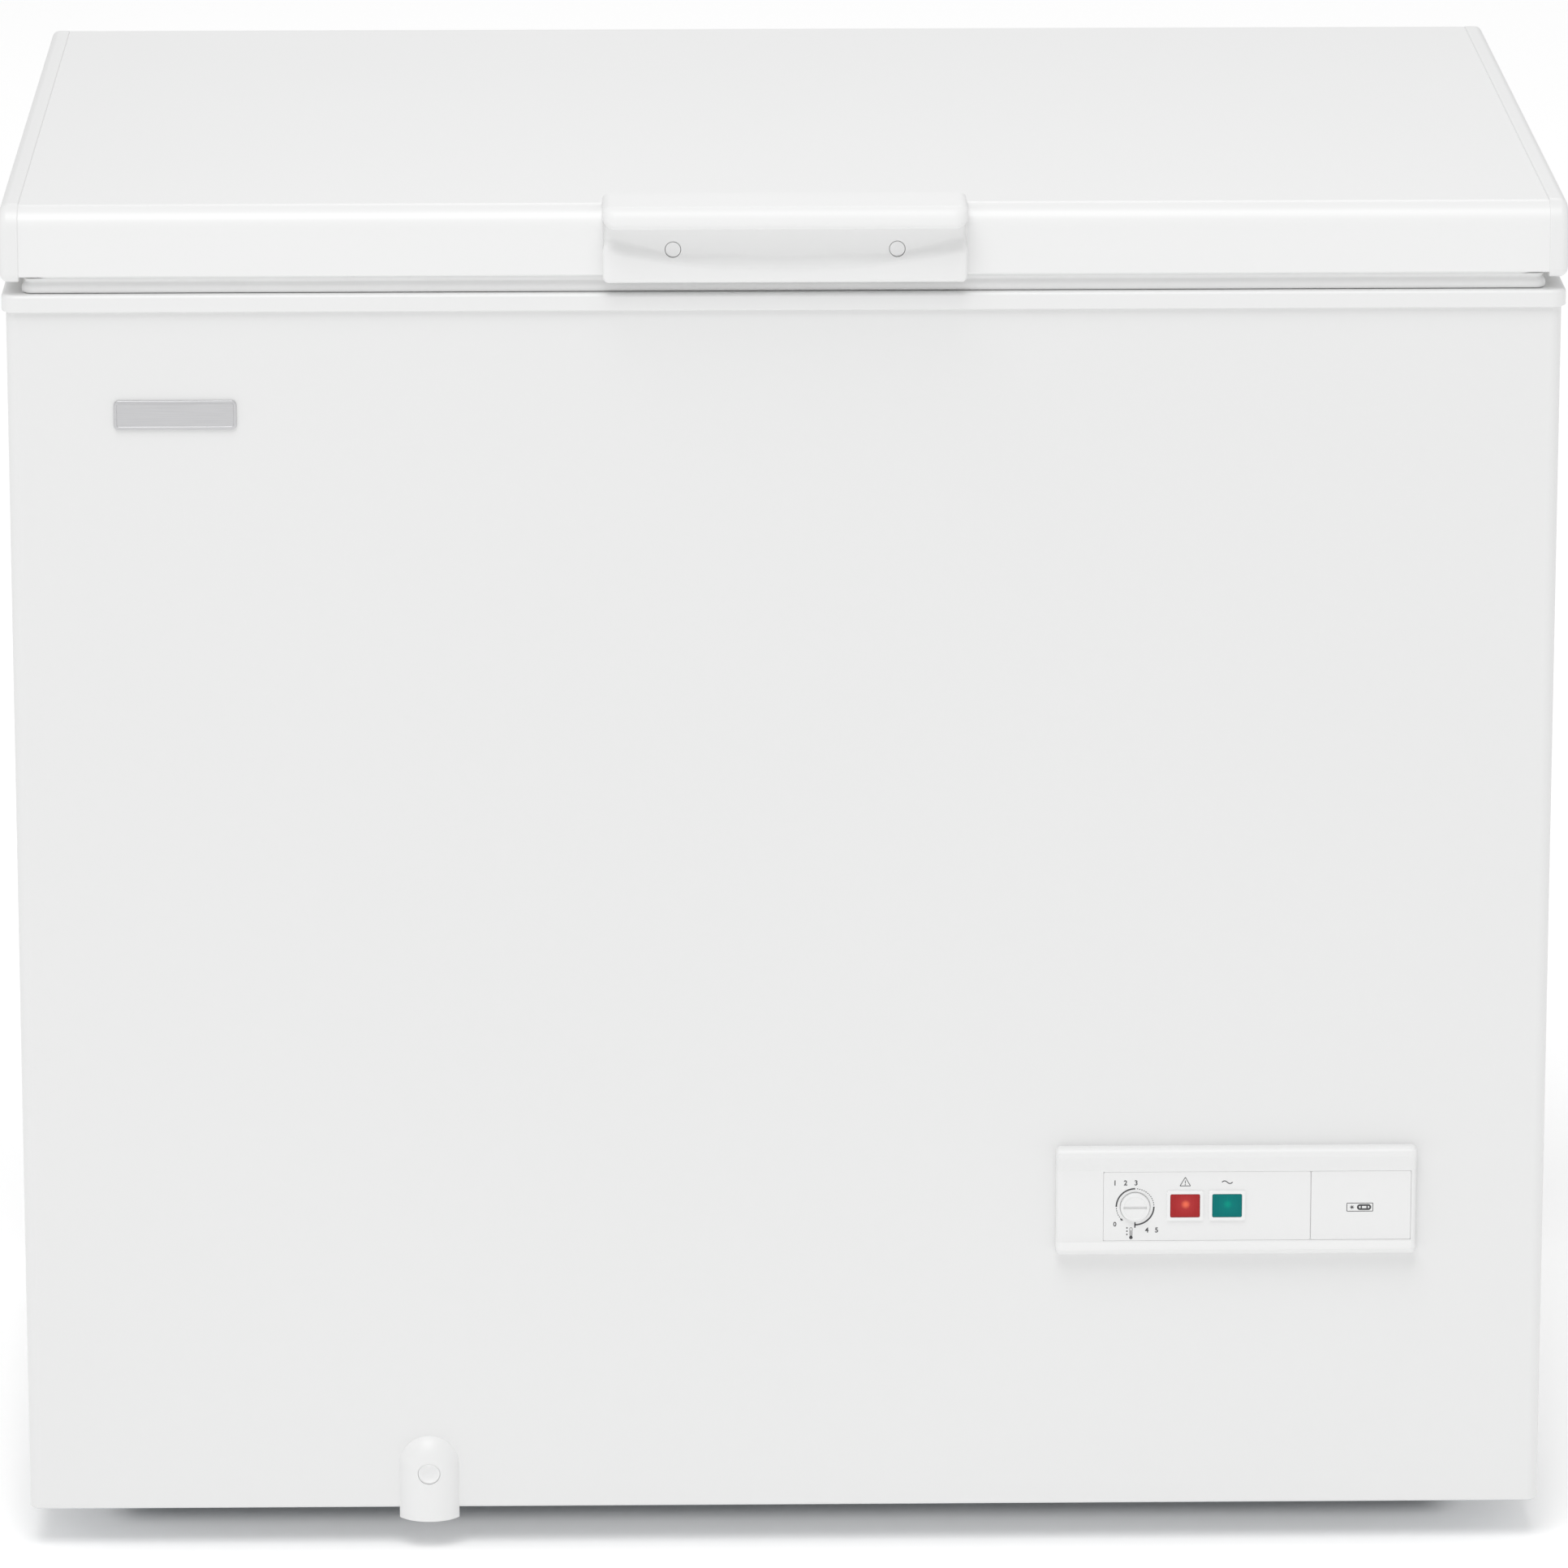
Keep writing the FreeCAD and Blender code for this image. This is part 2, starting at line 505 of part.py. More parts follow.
def lamp_frames():
    band = -BODY_Y - BAND_PROUD
    made = []
    for x in LAMP_XS:
        flange = lamp_opening(x, LAMP_FRAME, band - 1.0, band)
        neck = lamp_opening(x, LAMP_FRAME / 2, band, band + 8)
        made.append(fuse(flange, neck).cut(lamp_opening(x, 0, band - 2, band + 9)))
    return Part.makeCompound(made)


def lamp_lens(x):
    band = -BODY_Y - BAND_PROUD
    lens = lamp_opening(x, -0.1, band - 1.2, band + 4)
    return rounded(lens, 0.8, lies_at(band - 1.2, "y"))


def lamp_holders():
    band = -BODY_Y - BAND_PROUD
    made = []
    for x in LAMP_XS:
        case = lamp_opening(x, -0.6, band + 4, band + 24)
        tabs = [block(x + side - 0.4, x + side + 0.4, band + 24, band + 32, LAMP_Z - 3, LAMP_Z + 3)
                for side in (-4.0, 4.0)]
        made.append(fuse(case, *tabs))
    return Part.makeCompound(made)


def thermostat_body():
    y = -BODY_Y + SHEET
    case = block(KNOB_X - 17, KNOB_X + 17, y + 1.6, y + 36, KNOB_Z - 16, KNOB_Z + 16)
    case = rounded(case, 2.0, lies_at(y + 36, "y"))
    bush = rod((KNOB_X, y - 2, KNOB_Z), (KNOB_X, y + 3, KNOB_Z), 6.0)
    bore = rod((KNOB_X, y - 5, KNOB_Z), (KNOB_X, y + 20, KNOB_Z), PIN_RADIUS + RUNNING_FIT)
    bracket = block(KNOB_X - 12, KNOB_X + 12, y, y + 1.6, KNOB_Z - 24, KNOB_Z + 24)
    return fuse(case, bush, bracket).cut(bore)


def thermostat_spindle():
    y = -BODY_Y + SHEET
    return rod((KNOB_X, y - 6.0, KNOB_Z), (KNOB_X, y + 18, KNOB_Z), PIN_RADIUS)


def thermostat_knob():
    """Round knob with a coin slot and a pointer at its right-hand end."""
    band = -BODY_Y - BAND_PROUD
    y = -BODY_Y + SHEET
    disc = rod((KNOB_X, band - 2.6, KNOB_Z), (KNOB_X, band + 2.4, KNOB_Z), KNOB_RADIUS)
    disc = rounded(disc, 0.8, lies_at(band - 2.6, "y"))
    slot = block(KNOB_X - 7.2, KNOB_X + 7.2, band - 4, band - 1.2, KNOB_Z - 0.9, KNOB_Z + 0.9)
    boss = rod((KNOB_X, band + 2.4, KNOB_Z), (KNOB_X, y - 2.4, KNOB_Z), 5.2)
    bore = rod((KNOB_X, y - 6.0, KNOB_Z), (KNOB_X, y + 5, KNOB_Z), PIN_RADIUS)
    return fuse(disc, boss).cut([slot, bore])


def thermostat_bulb_tube():
    """Capillary from the thermostat to the bay's roof, where it enters the foam."""
    y = -BODY_Y + SHEET + 36
    return tube([(KNOB_X, y, KNOB_Z), (KNOB_X, y + 30, KNOB_Z), (KNOB_X - 30, y + 60, KNOB_Z + 4),
                 (KNOB_X - 30, y + 60, BAY_TOP)], 1.2, 10.0)


# ---- drain and badge ----

def drain_cover():
    """Domed cover plate with a round well for the cap."""
    half, low, front = DRAIN_COVER_HALF, DRAIN_COVER_LOW, -BODY_Y - DRAIN_COVER_PROUD
    top = DRAIN_Z + 3.4
    plan = Part.Wire([Part.Arc(Vector(DRAIN_X - half, -BODY_Y, low), Vector(DRAIN_X, front, low),
                               Vector(DRAIN_X + half, -BODY_Y, low)).toShape(),
                      Part.LineSegment(Vector(DRAIN_X + half, -BODY_Y, low),
                                       Vector(DRAIN_X - half, -BODY_Y, low)).toShape()])
    trunk = Part.Face(plan).extrude(Vector(0, 0, top + half + 4 - low))
    sagitta = DRAIN_COVER_PROUD
    ball = (half ** 2 + sagitta ** 2) / (2 * sagitta)
    dome = Part.makeSphere(ball, Vector(DRAIN_X, front + ball, top))
    keep = fuse(dome, Part.makeCylinder(ball, top - low + 1, Vector(DRAIN_X, front + ball, low - 1)))
    body = trunk.common(keep).cut(block(DRAIN_X - 40, DRAIN_X + 40, -BODY_Y, -BODY_Y + 60, 0, 120))
    well = rod((DRAIN_X, front - 5, DRAIN_Z), (DRAIN_X, -BODY_Y - 6, DRAIN_Z), DRAIN_CAP + 0.4)
    pipe = rod((DRAIN_X, -BODY_Y - 7, DRAIN_Z), (DRAIN_X, -BODY_Y + 2, DRAIN_Z), DRAIN_TUBE)
    return body.cut([well, pipe])


def drain_tube():
    ends = [rod((DRAIN_X, -BODY_Y - 7, DRAIN_Z), (DRAIN_X, -BODY_Y - 5, DRAIN_Z), DRAIN_BORE),
            rod((DRAIN_X, DRAIN_Y, TUB_FLOOR - 1), (DRAIN_X, DRAIN_Y, TUB_FLOOR + 1), DRAIN_BORE)]
    return drain_run(DRAIN_TUBE, TUB_FLOOR).cut([drain_run(DRAIN_BORE, TUB_FLOOR)] + ends)


def drain_cap():
    disc = rod((DRAIN_X, -BODY_Y - 8.6, DRAIN_Z), (DRAIN_X, -BODY_Y - 6.2, DRAIN_Z), DRAIN_CAP)
    disc = rounded(disc, 0.7, lies_at(-BODY_Y - 8.6, "y"))
    stem = rod((DRAIN_X, -BODY_Y - 6.2, DRAIN_Z), (DRAIN_X, -BODY_Y + 8, DRAIN_Z), DRAIN_BORE - 0.3)
    return fuse(disc, stem)


def tub_drain_plug():
    x, y = DRAIN_X, DRAIN_Y
    disc = rod((x, y, TUB_FLOOR + 0.2), (x, y, TUB_FLOOR + 4.2), 17.0)
    disc = rounded(disc, 1.4, lies_at(TUB_FLOOR + 4.2, "z"))
    grip = block(x - 9, x + 9, y - 1.6, y + 1.6, TUB_FLOOR + 4.2, TUB_FLOOR + 12)
    stem = rod((x, y, TUB_FLOOR - 12), (x, y, TUB_FLOOR + 0.2), DRAIN_BORE - 0.3)
    return fuse(disc, grip, stem)


def name_badge():
    plate = front_plate(BADGE_X - BADGE_HALF_X, BADGE_X + BADGE_HALF_X, BADGE_Z - BADGE_HALF_Z,
                        BADGE_Z + BADGE_HALF_Z, 3.0, -BODY_Y - 1.5, -BODY_Y)
    return rounded(plate, 0.6, lies_at(-BODY_Y - 1.5, "y"))


# ---- hinges ----

def hinge_housing():
    """Steel channel on the cabinet's back, with two cheeks that carry the pin."""
    x0, x1, above = HINGE_X - HOUSING_HALF, HINGE_X + HOUSING_HALF, AXIS_Z + 30
    outline = [(BODY_Y, HOUSING_BOTTOM, 0), (HOUSING_BACK, HOUSING_BOTTOM, 8.0), (HOUSING_BACK, AXIS_Z, 0),
               (AXIS_Y + 8, AXIS_Z + 11, 8.0), (AXIS_Y - 8, AXIS_Z + 11, 8.0),
               (AXIS_Y - 11.4, AXIS_Z - 4, 3.0), (BODY_Y, AXIS_Z - 14, 0)]
    solid = side_profile(outline, x0, x1)
    hollow = block(x0 + CHEEK, x1 - CHEEK, BODY_Y - 1, HOUSING_BACK - 2, HOUSING_BOTTOM + 4, above)
    notch = block(x0 + CHEEK, x1 - CHEEK, BODY_Y - 1, HOUSING_BACK + 5, AXIS_Z - 8, above)
    wings = [block(edge, edge + WING, BODY_Y, BODY_Y + 1.6, HOUSING_BOTTOM + 8, AXIS_Z - 20)
             for edge in (x0 - WING, x1)]
    pin = rod((x0 - 5, AXIS_Y, AXIS_Z), (x1 + 5, AXIS_Y, AXIS_Z), PIN_RADIUS)
    return fuse(solid.cut([hollow, notch]), *wings).cut([pin] + screw_holes(housing_screw_places()))


def hinge_pin():
    x0, x1 = HINGE_X - HOUSING_HALF, HINGE_X + HOUSING_HALF
    shaft = rod((x0 - 1.5, AXIS_Y, AXIS_Z), (x1, AXIS_Y, AXIS_Z), PIN_RADIUS)
    return fuse(shaft, rod((x1, AXIS_Y, AXIS_Z), (x1 + 2.2, AXIS_Y, AXIS_Z), PIN_RADIUS + 2))


def cam_point(turn_deg, radius):
    """turn_deg 0 faces the plunger when the lid is shut, and OPEN_DEG does when it is open."""
    turn = math.radians(turn_deg)
    return Vector(HINGE_X - LEAF_HALF, AXIS_Y + radius * math.sin(turn), AXIS_Z - radius * math.cos(turn))


def hinge_leaf():
    """Plate on the lid's back, with an arm that ends in a spiral cam round the pin."""
    x0 = HINGE_X - LEAF_HALF
    spiral = [cam_point(turn, CAM_SHUT + (CAM_OPEN - CAM_SHUT) * turn / OPEN_DEG)
              for turn in (0.0, OPEN_DEG / 4, OPEN_DEG / 2, OPEN_DEG * 3 / 4, OPEN_DEG)]
    cam = Part.BSplineCurve()
    cam.interpolate(spiral)
    top = cam_point(170.0, CAM_OPEN)
    arm_back, arm_front = Vector(x0, LID_Y + 2.4, AXIS_Z + 17), Vector(x0, LID_Y + 0.2, AXIS_Z + 17)
    heel = cam_point(-78.0, CAM_SHUT - 0.2)
    edges = [cam.toShape(), Part.Arc(spiral[-1], cam_point(130.0, CAM_OPEN), top).toShape(),
             Part.LineSegment(top, arm_back).toShape(), Part.LineSegment(arm_back, arm_front).toShape(),
             Part.LineSegment(arm_front, heel).toShape(),
             Part.Arc(heel, cam_point(-39.0, CAM_SHUT), spiral[0]).toShape()]
    arm = Part.Face(Part.Wire(edges)).extrude(Vector(2 * LEAF_HALF, 0, 0))
    plate = front_plate(x0, x0 + 2 * LEAF_HALF, LID_BOTTOM + 0.4, LID_TOP - 8, 3.0, LID_Y, LID_Y + 2.4)
    bore = rod((x0 - 5, AXIS_Y, AXIS_Z), (x0 + 2 * LEAF_HALF + 5, AXIS_Y, AXIS_Z), PIN_RADIUS + RUNNING_FIT)
    holes = [rod((x, LID_Y - 1, z), (x, LID_Y + 5, z), SCREW_SHANK) for x, z in leaf_screw_places()]
    return fuse(arm, plate).cut([bore] + holes)


def hinge_plunger():
    """Slider that the spring pushes up against the cam."""
    tip = AXIS_Z - CAM_SHUT - PLUNGER_GAP - PLUNGER_TIP
    half = HOUSING_HALF - CHEEK - 1.0
    x0, x1, y = HINGE_X - 12, HINGE_X + 12, AXIS_Y + 1
    nose = rod((x0, y, tip), (x1, y, tip), PLUNGER_TIP)
    blade = block(x0, x1, y - PLUNGER_TIP, y + PLUNGER_TIP, SPRING_TOP + 8, tip)
    shoe = block(HINGE_X - half, HINGE_X + half, BODY_Y + 2, HOUSING_BACK - 3, SPRING_TOP, SPRING_TOP + 10)
    guide = rod((HINGE_X, AXIS_Y - 2.5, SPRING_TOP - 22), (HINGE_X, AXIS_Y - 2.5, SPRING_TOP), 4.5)
    return fuse(nose, blade, shoe, guide)


def hinge_spring():
    """Compression spring, made of short runs and arcs round its coil."""
    coils, steps, radius, wire = 8, 6, 8.2, 1.5
    low, high = SPRING_BOTTOM + wire, SPRING_TOP - wire - 0.2
    points = []
    for i in range(coils * steps + 1):
        turn = 2 * math.pi * i / steps
        z = low + (high - low) * i / (coils * steps)
        points.append((HINGE_X + radius * math.cos(turn), AXIS_Y - 2.5 + radius * math.sin(turn), z))
    return tube(points, wire, radius * 0.9)


def housing_screw_places():
    return [(hand * HINGE_X + side * (HOUSING_HALF + WING / 2), z)
            for hand in (-1, 1) for side in (-1, 1) for z in (674.0, 714.0, 754.0)]


def housing_screws():
    seat = BODY_Y + 1.6
    return Part.makeCompound([screw((x, seat, z), (0, -1, 0), 14.0) for x, z in housing_screw_places()])


def leaf_screw_places():
    return [(HINGE_X + side * 11.0, z) for side in (-1, 1) for z in (817.0, 830.0)]


def leaf_screws():
    one_side = [screw((x, LID_Y + 2.4, z), (0, -1, 0), 12.0) for x, z in leaf_screw_places()]
    return both_sides(Part.makeCompound(one_side))


# ---- lid ----

def lid_section(inset, bottom, x0, x1):
    y, top = LID_Y - inset, LID_TOP - inset
    front, back = LID_FRONT_RADIUS - inset, LID_BACK_RADIUS - inset
    outline = [(-y, bottom, 0), (-y, top, front), (y, top, back), (y, bottom, 0)]
    return side_profile(outline, x0, x1)


def lid_fixing_holes():
    """Clearance for the handle's and the hinges' screws."""
    handle = [rod((x, -LID_Y - 5, SCREW_Z), (x, -LID_Y + 22, SCREW_Z), SCREW_SHANK)
              for x in (-SCREW_X, SCREW_X)]
    leaves = [rod((side * x, LID_Y + 5, z), (side * x, LID_Y - 14, z), SCREW_SHANK)
              for side in (-1, 1) for x, z in leaf_screw_places()]
    return handle + leaves


def lid_skin():
    shell = lid_section(0, LID_BOTTOM, -CAP_X, CAP_X)
    shell = shell.cut(lid_section(SHEET, LID_BOTTOM - 1, -CAP_X - 1, CAP_X + 1))
    inner = LID_Y - SHEET
    lips = [block(-CAP_X, CAP_X, side * inner - 12 * (side > 0), side * inner + 12 * (side < 0),
                  LID_BOTTOM, LID_BOTTOM + SHEET) for side in (-1, 1)]
    return fuse(shell, *lips).cut(lid_fixing_holes())


def lid_end_cap():
    y, top = LID_Y + CAP_PROUD, LID_TOP + CAP_PROUD
    outline = [(-y, CAP_BOTTOM, 6.0), (-y, top, LID_FRONT_RADIUS + CAP_PROUD), (y, top, 9.0),
               (y, CAP_BOTTOM, 5.0)]
    body = rounded(side_profile(outline, CAP_X, LID_X), 5.0, lies_at(LID_X, "x"))
    wall = 3.0
    inner = [(-y + wall, CAP_BOTTOM + wall, 3.0), (-y + wall, top - wall, LID_FRONT_RADIUS - 2),
             (y - wall, top - wall, 6.0), (y - wall, CAP_BOTTOM + wall, 2.0)]
    return body.cut(side_profile(inner, CAP_X - 1, LID_X - wall - 0.5))


def plug_bulge(inset):
    """The inner panel's bulge into the mouth."""
    bulge = centred(PLUG_X - inset, PLUG_Y - inset, 42.0 - inset, PLUG_BOTTOM + inset, LID_BOTTOM)
    return rounded(bulge, 12.0 - inset, lies_at(PLUG_BOTTOM + inset, "z"))


def lid_inner_panel():
    plate = centred(GASKET_X - 7, GASKET_Y - 3, 20.0, LID_BOTTOM - PANEL_SHEET, LID_BOTTOM)
    return fuse(plate, plug_bulge(0)).cut(plug_bulge(PANEL_SHEET))


def lid_foam():
    main = lid_section(SHEET, LID_BOTTOM + SHEET, -CAP_X, CAP_X)
    pad = block(-CAP_X, CAP_X, -LID_Y + SHEET + 12, LID_Y - SHEET - 12, LID_BOTTOM, LID_BOTTOM + SHEET)
    return fuse(main, pad, plug_bulge(PANEL_SHEET)).cut(lid_fixing_holes())


def lid_gasket():
    """Hollow magnetic seal, square in plan."""
    top = LID_BOTTOM - PANEL_SHEET
    outer = centred(GASKET_X, GASKET_Y, 10.0, GASKET_BOTTOM, top)
    outer = rounded(outer, 3.0, lambda edge: lies_at(GASKET_BOTTOM, "z")(edge) or lies_at(top, "z")(edge))
    inner = centred(GASKET_X - GASKET_WIDTH, GASKET_Y - GASKET_WIDTH, 6.0, GASKET_BOTTOM - 1, top + 1)
    return outer.cut(inner)


def lid_handle():
    """Moulded grip: a hood over the lid's front edge, a scooped recess and a lower flange."""
    nose, face, gap = -HANDLE_NOSE, -HANDLE_FACE, 0.05
    lid_y, lid_top = -LID_Y - gap, LID_TOP + gap
    outline = [(lid_y, HANDLE_BOTTOM, 0), (face, HANDLE_BOTTOM, 3.0), (face, HOOD_BOTTOM - 4, 4.0),
               (nose, HOOD_BOTTOM, 2.5), (nose, HANDLE_TOP, 9.0), (-HOOD_BACK, HANDLE_TOP, 2.6),
               (-HOOD_BACK, lid_top, 0), (lid_y, lid_top, LID_FRONT_RADIUS + gap)]
    body = side_profile(outline, -HANDLE_X, HANDLE_X)
    ends = front_plate(-HANDLE_X, HANDLE_X, HANDLE_BOTTOM - 1, HANDLE_TOP + 1, 3.0, nose - 1, -HOOD_BACK + 1)
    plan = upright(-HANDLE_X, HANDLE_X, nose, -HOOD_BACK + 20, HOOD_CORNER, HANDLE_BOTTOM - 1, HANDLE_TOP + 1)
    keep = block(-HANDLE_X, HANDLE_X, -LID_Y - 4, -HOOD_BACK, HANDLE_BOTTOM - 1, HANDLE_TOP + 1)
    body = body.common(ends).common(fuse(plan, keep))
    x, y, roof = RECESS_X, nose - 5, HOOD_BOTTOM + 1
    left, right = Vector(-x, y, RECESS_SIDE_Z), Vector(x, y, RECESS_SIDE_Z)
    corners = [right, Vector(x, y, roof), Vector(-x, y, roof), left]
    sides = [Part.LineSegment(a, b).toShape() for a, b in zip(corners, corners[1:])]
    smile = Part.Wire([Part.Arc(left, Vector(0, y, RECESS_LOW_Z), right).toShape()] + sides)
    scoop = Part.Face(smile).extrude(Vector(0, -HANDLE_FLOOR - y, 0))
    wells = []
    for place in (-SCREW_X, SCREW_X):
        wells.append(rod((place, -HANDLE_FLOOR - 2, SCREW_Z), (place, -HANDLE_FLOOR + 3.4, SCREW_Z), 4.9))
        wells.append(rod((place, -HANDLE_FLOOR, SCREW_Z), (place, -LID_Y + 5, SCREW_Z), SCREW_SHANK))
    return body.cut([scoop] + wells)


def handle_screws():
    seat = -HANDLE_FLOOR + 3.4
    return both_sides(screw((SCREW_X, seat, SCREW_Z), (0, 1, 0), 22.0, head_height=1.9))


def handle_screw_caps():
    front = -HANDLE_FLOOR - 0.3
    cap = rod((SCREW_X, front, SCREW_Z), (SCREW_X, front + 1.6, SCREW_Z), 4.6)
    return both_sides(rounded(cap, 0.5, lies_at(front, "y")))


# ---- inside ----

def basket():
    """Storage basket at the right, hung on the tub's ledge by a rail at its front and back."""
    x0, x1 = BASKET_X - BASKET_HALF_X, BASKET_X + BASKET_HALF_X
    y, wall, corner = BASKET_HALF_Y, BASKET_WALL, BASKET_CORNER
    box = upright(x0, x1, -y, y, corner, BASKET_BOTTOM, BASKET_TOP)
    inside = upright(x0 + wall, x1 - wall, -y + wall, y - wall, corner - wall,
                     BASKET_BOTTOM + wall, BASKET_TOP + 1)
    rails = [block(x0 + 30, x1 - 30, side * y - 20 * (side < 0), side * y + 20 * (side > 0),
                   LEDGE_TOP + 0.3, BASKET_TOP) for side in (-1, 1)]
    return fuse(box.cut(inside), *rails)


nodes = {
    "cabinet_wrap": cabinet_wrap(), "back_panel": back_panel(), "base_pan": base_pan(),
    "compressor_tray": compressor_tray(), "machine_bay_panel": machine_bay_panel(), "feet": feet(),
    "tub_liner": tub_liner(), "cabinet_foam": cabinet_foam(), "top_trim": top_trim(),
    "evaporator_tube": evaporator_tube(), "condenser_tube": condenser_tube(),
    "compressor_shell": compressor_shell(), "compressor_mounts": compressor_mounts(),
    "compressor_bolts": compressor_bolts(), "start_relay_cover": start_relay_cover(),
    "filter_drier": filter_drier(), "refrigerant_tubes": refrigerant_tubes(),
    "bay_cover": bay_cover(), "bay_cover_screws": bay_cover_screws(), "cord_gland": cord_gland(),
    "side_vent_grille": side_vent_grille(), "control_bezel": control_bezel(),
    "control_fascia": control_fascia(), "panel_cover": panel_cover(),
    "lamp_frames": lamp_frames(), "alarm_lamp_lens": lamp_lens(LAMP_XS[0]),
    "power_lamp_lens": lamp_lens(LAMP_XS[1]), "lamp_holders": lamp_holders(),
    "thermostat_body": thermostat_body(), "thermostat_spindle": thermostat_spindle(),
    "thermostat_knob": thermostat_knob(), "thermostat_bulb_tube": thermostat_bulb_tube(),
    "drain_cover": drain_cover(), "drain_tube": drain_tube(), "drain_cap": drain_cap(),
    "tub_drain_plug": tub_drain_plug(), "name_badge": name_badge(),
    "housing_screws": housing_screws(), "leaf_screws": leaf_screws(),
    "lid_skin": lid_skin(), "lid_end_cap_left": mirrored(lid_end_cap()), "lid_end_cap_right": lid_end_cap(),
    "lid_inner_panel": lid_inner_panel(), "lid_foam": lid_foam(), "lid_gasket": lid_gasket(),
    "lid_handle": lid_handle(), "handle_screws": handle_screws(), "handle_screw_caps": handle_screw_caps(),
    "basket_left": mirrored(basket()), "basket_right": basket(),
}
for name, make in {"housing": hinge_housing, "pin": hinge_pin, "leaf": hinge_leaf,
                   "plunger": hinge_plunger, "spring": hinge_spring}.items():
    shape = make()
    nodes[f"hinge_{name}_right"] = shape
    nodes[f"hinge_{name}_left"] = mirrored(shape)

os.makedirs("parts", exist_ok=True)
for node, shape in nodes.items():
    shape.exportStep(f"parts/{node}.step")
    box = shape.optimalBoundingBox()
    print(f"{node:22s} {len(shape.Solids):3d} solids {'ok' if shape.isValid() else 'BAD'} "
          f"{shape.Volume / 1000:10.2f} cm3  x {box.XMin:7.1f} {box.XMax:7.1f}  "
          f"y {box.YMin:7.1f} {box.YMax:7.1f}  z {box.ZMin:6.1f} {box.ZMax:6.1f}")
print(len(nodes), "nodes")
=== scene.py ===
import math

import bpy
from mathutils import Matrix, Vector


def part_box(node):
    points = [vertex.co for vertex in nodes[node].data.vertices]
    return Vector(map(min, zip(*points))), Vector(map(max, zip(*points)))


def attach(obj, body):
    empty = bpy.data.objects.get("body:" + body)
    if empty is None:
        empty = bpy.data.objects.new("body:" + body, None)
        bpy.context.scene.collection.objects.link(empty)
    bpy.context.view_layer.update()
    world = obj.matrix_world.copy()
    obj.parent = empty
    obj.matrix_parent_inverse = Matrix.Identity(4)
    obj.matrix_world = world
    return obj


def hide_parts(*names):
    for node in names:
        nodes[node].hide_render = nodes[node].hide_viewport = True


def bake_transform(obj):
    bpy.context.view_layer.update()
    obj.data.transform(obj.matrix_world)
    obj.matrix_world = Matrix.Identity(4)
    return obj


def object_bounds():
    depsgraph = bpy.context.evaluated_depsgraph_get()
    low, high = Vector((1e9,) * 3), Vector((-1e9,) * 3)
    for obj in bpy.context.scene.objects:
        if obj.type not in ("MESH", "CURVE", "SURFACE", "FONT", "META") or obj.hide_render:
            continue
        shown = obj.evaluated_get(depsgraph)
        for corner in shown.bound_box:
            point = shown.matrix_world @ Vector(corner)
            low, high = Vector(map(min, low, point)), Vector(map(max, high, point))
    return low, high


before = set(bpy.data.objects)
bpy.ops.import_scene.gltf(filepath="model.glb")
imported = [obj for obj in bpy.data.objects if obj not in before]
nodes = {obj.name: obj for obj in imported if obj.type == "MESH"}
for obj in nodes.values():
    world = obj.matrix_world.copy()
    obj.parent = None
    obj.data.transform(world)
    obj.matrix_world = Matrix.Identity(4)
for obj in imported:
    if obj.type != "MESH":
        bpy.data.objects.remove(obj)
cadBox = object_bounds()
mm = 0.001


# ---- small helpers for modelling ----

def deselectAll():
    if bpy.context.object and bpy.context.object.mode != "OBJECT":
        bpy.ops.object.mode_set(mode="OBJECT")
    bpy.ops.object.select_all(action="DESELECT")


def workOn(piece):
    deselectAll()
    piece.select_set(True)
    bpy.context.view_layer.objects.active = piece


def settle(piece):
    workOn(piece)
    bpy.ops.object.transform_apply(location=True, rotation=True, scale=True)


def addShape(name, kind, **settings):
    deselectAll()
    getattr(bpy.ops.mesh, f"primitive_{kind}_add")(**settings)
    piece = bpy.context.object
    piece.name = piece.data.name = name
    return piece


def addRod(name, radius, depth, place, sides=48):
    # a cylinder along the depth of the cabinet
    rod = addShape(name, "cylinder", vertices=sides, radius=radius, depth=depth, location=place,
                   rotation=(math.pi / 2, 0, 0))
    settle(rod)
    return rod


def addBlock(name, low, high):
    low, high = Vector(low), Vector(high)
    piece = addShape(name, "cube", size=1, location=(low + high) / 2)
    piece.scale = high - low
    settle(piece)
    return piece


def pick(piece, kind, test):
    # selects the faces or edges that pass test(middle, direction) and stays in edit mode
    workOn(piece)
    mesh = piece.data
    bpy.ops.object.mode_set(mode="EDIT")
    bpy.ops.mesh.select_mode(type="EDGE" if kind == "edges" else "FACE")
    bpy.ops.mesh.select_all(action="DESELECT")
    bpy.ops.object.mode_set(mode="OBJECT")
    if kind == "edges":
        for edge in mesh.edges:
            a, b = (mesh.vertices[i].co for i in edge.vertices)
            edge.select = bool(test((a + b) / 2, (b - a).normalized()))
    else:
        for face in mesh.polygons:
            face.select = bool(test(face.center, face.normal))
    bpy.ops.object.mode_set(mode="EDIT")


def endEdit():
    bpy.ops.object.mode_set(mode="OBJECT")


def roundEdges(piece, width, steps, test):
    pick(piece, "edges", test)
    bpy.ops.mesh.bevel(offset=width, segments=steps, affect="EDGES", clamp_overlap=False)
    endEdit()


def removeFaces(piece, test):
    pick(piece, "faces", test)
    bpy.ops.mesh.delete(type="FACE")
    endEdit()


def sinkFace(piece, front, border, edge, depth):
    # a sunken field in the face that lies at the front
    pick(piece, "faces", lambda middle, normal: normal.y < -0.99 and middle.y < front + 0.01 * mm)
    bpy.ops.mesh.inset(thickness=border, use_even_offset=True)
    bpy.ops.mesh.inset(thickness=edge, use_even_offset=True)
    bpy.ops.transform.translate(value=(0, depth, 0))
    endEdit()


